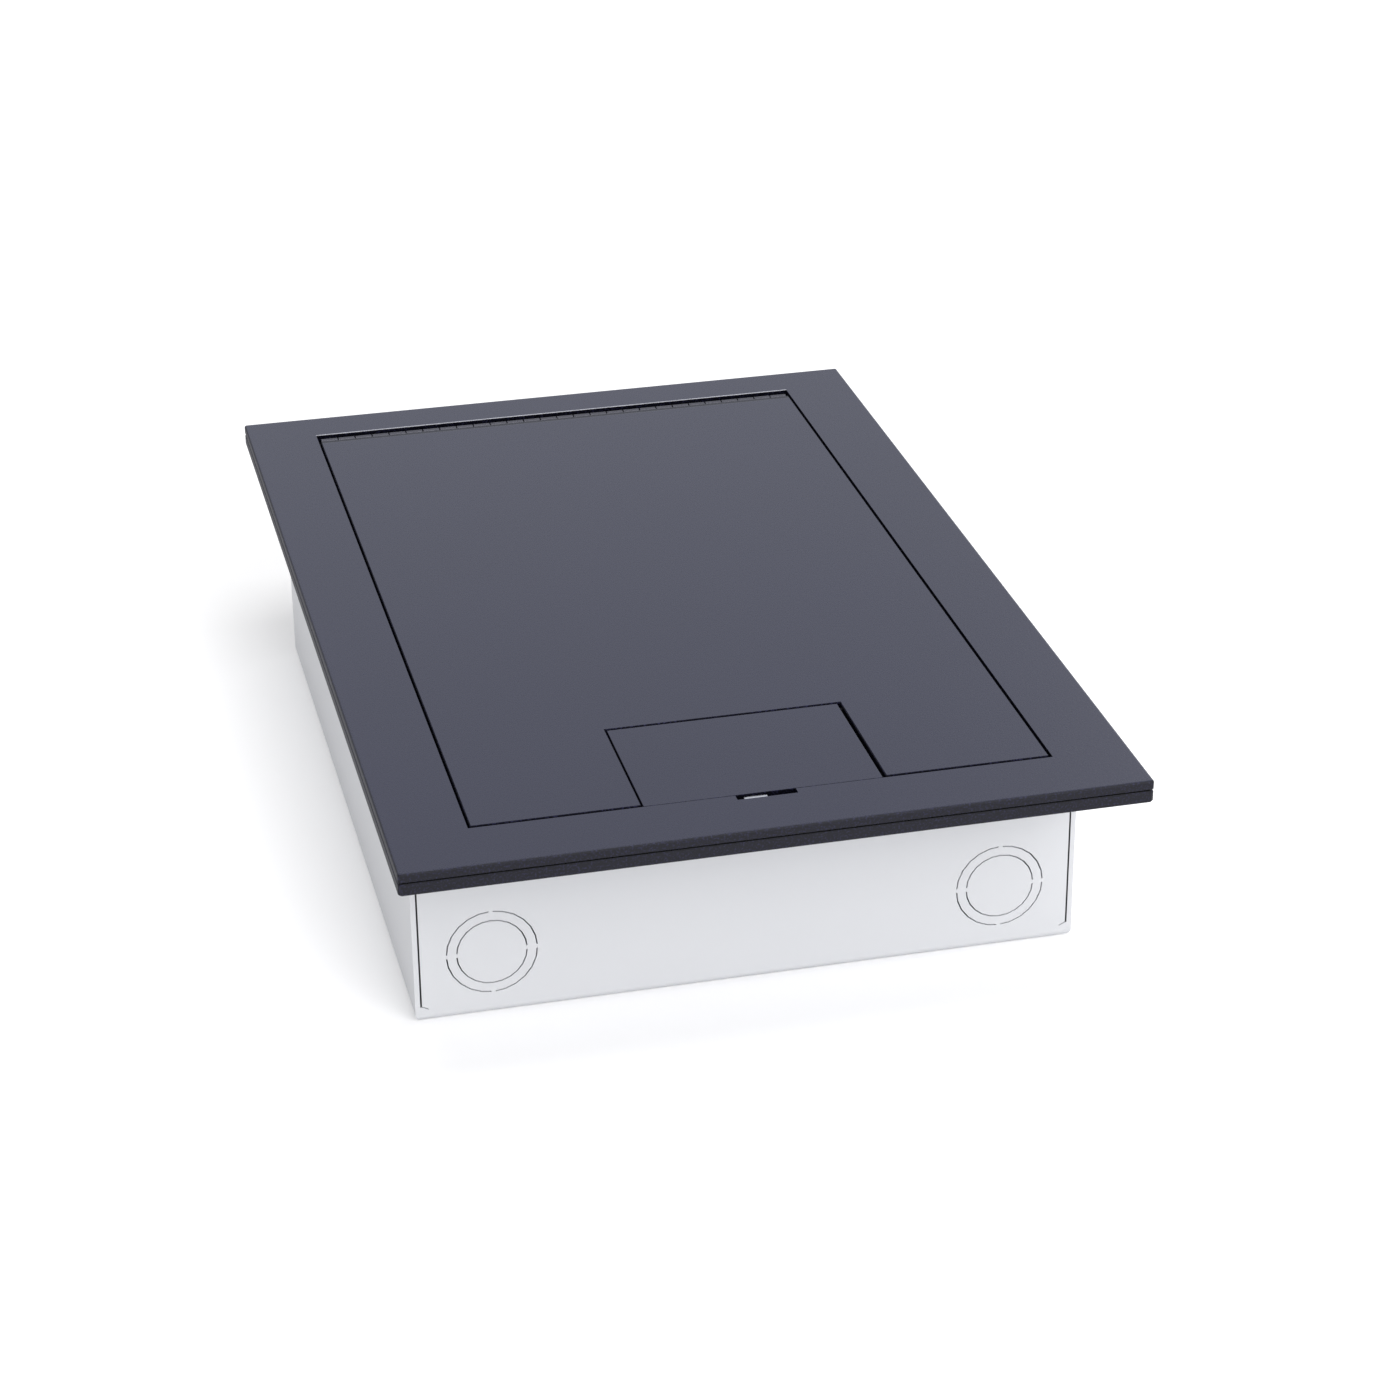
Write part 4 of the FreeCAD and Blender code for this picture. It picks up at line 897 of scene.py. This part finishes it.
class MakeScrews(bpy.types.Operator):
    """Make the round screws, with a recess for the driver in each head"""

    bl_idname = "floor_box.make_screws"
    bl_label = "Screws"

    def execute(self, context):
        screw = context.scene.floor_box_screw
        plated = zinc_screw("screw_zinc", context.scene.floor_box_metal)
        for kind in SCREWS:
            shape = bmesh.new()
            low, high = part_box(kind.node)
            margin = min((high.x - low.x) / 2, (high.y - low.y) / 2, kind.head * MM)
            for column in range(kind.columns):
                for row in range(kind.rows):
                    x = self.along(low.x + margin, high.x - margin, column, kind.columns)
                    y = self.along(low.y + margin, high.y - margin, row, kind.rows)
                    self.screw(shape, Vector((x, y, 0)), low.z, high.z, kind, screw)
            name = kind.node.replace("screws", "round_screws")
            smooth_round(fit_piece(name, shape, kind.node, plated))
        return {"FINISHED"}

    def along(self, start, end, index, count):
        """Where one of a row of screws stands. A single one stands in the middle."""
        return (start + end) / 2 if count == 1 else start + (end - start) * index / (count - 1)

    def screw(self, shape, place, low, high, kind, screw):
        """A screw between two heights, with its head at the top where it is driven down."""
        others = set(shape.verts)
        profile, flat = self.profile(kind, high - low)
        verts = [shape.verts.new((place.x + out, place.y, up)) for out, up in profile]
        edges = [shape.edges.new(pair) for pair in zip(verts, verts[1:])]
        bmesh.ops.spin(
            shape, geom=verts + edges, cent=place, axis=(0, 0, 1), angle=2 * math.pi, steps=screw.steps,
            use_merge=True,
        )
        turned = [vert for vert in shape.verts if vert not in others]
        bmesh.ops.remove_doubles(shape, verts=turned, dist=NEAR)
        rim = [edge for edge in shape.edges if edge.is_boundary]
        self.recess(shape, place, rim, flat * RECESS_ARM, kind, screw)
        for vert in shape.verts:
            if vert not in others:
                vert.co.z = high + vert.co.z if "down" in kind.drive else low - vert.co.z

    def profile(self, kind, length):
        """A screw's half section from its tip up to its head at height 0, and the flat top's half width."""
        head, height, shank = kind.head * MM, kind.height * MM, kind.shank * MM
        tip = [(0.0, -length), (shank * TIP_END, -length), (shank, shank * TIP_HEIGHT - length)]
        if "sunk" in kind.drive:
            flat = head * SUNK_FLAT
            side = [(head - SUNK_RIM, -SUNK_RIM), (head, -SUNK_RIM / 2), (head - SUNK_RIM / 2, 0.0)]
        else:
            flat = head * PAN_FLAT
            side = [(head * out, -height * down) for out, down in PAN_HEAD]
        return tip + [(shank, -height)] + side + [(flat, 0.0)], flat

    def recess(self, shape, place, rim, arm, kind, screw):
        """Close the head's top round a recess, and sink the recess."""
        wide = screw.cross / 2
        if "cross" in kind.drive:
            quarter = [(arm, -wide), (arm, wide), (wide, wide)]
            outline = []
            for _ in range(4):
                outline += quarter
                quarter = [(-y, x) for x, y in quarter]
        else:
            outline = [(arm, -wide), (arm, wide), (-arm, wide), (-arm, -wide)]
        inner = loop(shape, [(place.x + x, place.y + y, 0.0) for x, y in outline])
        bmesh.ops.triangle_fill(shape, edges=rim + inner, use_beauty=True, use_dissolve=False)
        sunk = bmesh.ops.extrude_edge_only(shape, edges=inner)["geom"]
        for item in sunk:
            if isinstance(item, bmesh.types.BMVert):
                item.co = Vector((*(place.xy + (item.co.xy - place.xy) * RECESS_FOOT), -screw.recess))
        foot = [item for item in sunk if isinstance(item, bmesh.types.BMEdge) and item.is_boundary]
        bmesh.ops.triangle_fill(shape, edges=foot, use_beauty=True, use_dissolve=False)


# A contact wire's side view in millimetres, back from the port's middle and up from its mouth. It
# leaves the port's back wall near the mouth, slopes down across the port, and returns below itself.
CONTACT_WIRE = (
    (3.45, -2.0), (3.0, -1.7), (2.6, -2.0), (0.4, -9.5), (0.1, -9.6),
    (0.25, -9.9), (0.6, -9.9), (2.85, -2.4), (3.1, -2.1), (3.45, -2.4),
)


class MakePortContacts(bpy.types.Operator):
    """Make the sprung contact wires in the data ports"""

    bl_idname = "floor_box.make_port_contacts"
    bl_label = "Port contacts"

    def execute(self, context):
        port = context.scene.floor_box_port
        shape = bmesh.new()
        for number in range(1, 5):
            low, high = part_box(f"data_module_{number}")
            middle = (low + high) / 2
            for wire in range(port.count):
                x = middle.x + (wire - (port.count - 1) / 2) * port.pitch
                self.wire(shape, x - port.wire / 2, middle.y, high.z, port.wire)
        made = mesh_object("port_contacts", shape)
        made.data.materials.append(gold(context.scene.floor_box_metal))
        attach(made, *body_of(frame["nodes"]["data_module_1"]))
        return {"FINISHED"}

    def wire(self, shape, x, y, top, width):
        """One flat contact wire."""
        line = [shape.verts.new((x, y + back * MM, top + up * MM)) for back, up in CONTACT_WIRE]
        side = shape.faces.new(line)
        push(shape, bmesh.ops.extrude_face_region(shape, geom=[side]), (width, 0, 0))


# ---------------------------------------------------------------- stage


# Softboxes: the setting that holds each one's power, and its place in metres.
SOFTBOXES = (
    ("top", (0.0, 0.0, 1.7)),
    ("front", (0.5, -1.3, 1.3)),
    ("low", (0.35, -1.7, 0.6)),
    ("side", (1.0, -1.2, 0.9)),
    ("back", (1.4, 1.8, 0.9)),
)


class SetStage(bpy.types.Operator):
    """Set the floor, the lights, the world and the camera"""

    bl_idname = "floor_box.set_stage"
    bl_label = "Studio"

    def execute(self, context):
        stage = context.scene.floor_box_stage
        scene = context.scene
        scene.view_settings.view_transform = "Standard"
        self.world(scene, stage)
        self.floor(stage)
        for name, place in SOFTBOXES:
            self.softbox(f"{name}_softbox", getattr(stage, name), stage.softbox, place)
        self.camera(scene, stage)
        return {"FINISHED"}

    def world(self, scene, stage):
        """Even light for the box. The sky is seen as white, and mirrored as the studio's walls."""
        graph = Graph("studio", kind="worlds")
        mirrored = graph.node("ShaderNodeLightPath", output="Is Glossy Ray")
        white = graph.blend(mirrored, WHITE, stage.walls)
        colour = graph.blend(graph.seen(), shade(WHITE, stage.sky), white)
        background = graph.node("ShaderNodeBackground", {"Color": colour})
        graph.node("ShaderNodeOutputWorld", {"Surface": background})
        scene.world = graph.owner

    def floor(self, stage):
        """A pale floor that stays white away from the box and keeps its shadow."""
        shape = bmesh.new()
        bmesh.ops.create_grid(shape, x_segments=1, y_segments=1, size=stage.reach)
        floor = mesh_object("studio_floor", shape)
        graph = Graph("studio_floor")
        dust = graph.noise(scale=3.0) * 0.1
        away = graph.node("ShaderNodeVectorMath", [graph.place], operation="LENGTH", output="Value")
        far = away.step(level=stage.glow_edge, width=stage.glow_blend)
        pale = shade(stage.floor, stage.lift)
        lit = graph.shader(
            Base_Color=graph.blend(dust, pale, shade(pale, 0.993)),
            Roughness=1.0,
            Specular_IOR_Level=0.0,
            Emission_Color=graph.blend(far, shade(WHITE, stage.near_glow), shade(WHITE, stage.far_glow)),
            Emission_Strength=1.0,
        )
        matt = graph.shader(
            Base_Color=graph.blend(dust, stage.floor, shade(stage.floor, 0.99)),
            Roughness=1.0,
            Specular_IOR_Level=0.0,
        )
        surface = graph.node("ShaderNodeMixShader", [graph.seen(), matt, lit])
        graph.node("ShaderNodeOutputMaterial", {"Surface": surface})
        floor.data.materials.append(graph.owner)

    def softbox(self, name, power, side, place):
        """A square lamp that faces the box."""
        light = bpy.data.lights.new(name, "AREA")
        light.energy = power
        light.shape = "SQUARE"
        light.size = side
        lamp = bpy.data.objects.new(name, light)
        lamp.location = place
        lamp.rotation_mode = "QUATERNION"
        lamp.rotation_quaternion = (-Vector(place)).to_track_quat("-Z", "Y")
        bpy.context.scene.collection.objects.link(lamp)

    def camera(self, scene, stage):
        """A camera on a sphere round its aim."""
        turn, rise = stage.azimuth, stage.elevation
        back = Vector((math.sin(turn) * math.cos(rise), -math.cos(turn) * math.cos(rise), math.sin(rise)))
        data = bpy.data.cameras.new("camera")
        data.lens = stage.lens
        camera = bpy.data.objects.new("camera", data)
        camera.location = Vector(stage.aim) + back * stage.distance
        camera.rotation_mode = "QUATERNION"
        level = (-back).to_track_quat("-Z", "Y")
        camera.rotation_quaternion = level @ Matrix.Rotation(stage.roll, 3, "Z").to_quaternion()
        scene.collection.objects.link(camera)
        scene.camera = camera


# ---------------------------------------------------------------- add-on


SETTINGS = (
    ("floor_box_coat", CoatSettings),
    ("floor_box_metal", MetalSettings),
    ("floor_box_moulding", MouldingSettings),
    ("floor_box_trim", TrimSettings),
    ("floor_box_flap", FlapSettings),
    ("floor_box_hinge", HingeSettings),
    ("floor_box_screw", ScrewSettings),
    ("floor_box_port", PortSettings),
    ("floor_box_stage", StageSettings),
)
OPERATORS = (
    CoatFlange,
    CoatTub,
    PlateMetal,
    FinishMouldings,
    MakeTrim,
    MakeFlap,
    MakeHinge,
    MakeScrews,
    MakePortContacts,
    SetStage,
)


class FloorBoxPanel(bpy.types.Panel):
    """Lists the steps that dress the floor box"""

    bl_idname = "VIEW3D_PT_floor_box"
    bl_label = "Floor socket box"
    bl_space_type = "VIEW_3D"
    bl_region_type = "UI"
    bl_category = "Floor box"

    def draw(self, context):
        for operator in OPERATORS:
            self.layout.operator(operator.bl_idname)


def register():
    for _, group in SETTINGS:
        bpy.utils.register_class(group)
    for name, group in SETTINGS:
        setattr(bpy.types.Scene, name, PointerProperty(type=group))
    for operator in OPERATORS:
        bpy.utils.register_class(operator)
    bpy.utils.register_class(FloorBoxPanel)


def unregister():
    bpy.utils.unregister_class(FloorBoxPanel)
    for operator in reversed(OPERATORS):
        bpy.utils.unregister_class(operator)
    for name, group in reversed(SETTINGS):
        delattr(bpy.types.Scene, name)
        bpy.utils.unregister_class(group)


def main():
    register()
    for operator in OPERATORS:
        module, name = operator.bl_idname.split(".")
        getattr(getattr(bpy.ops, module), name)()


if __name__ == "__main__":
    main()
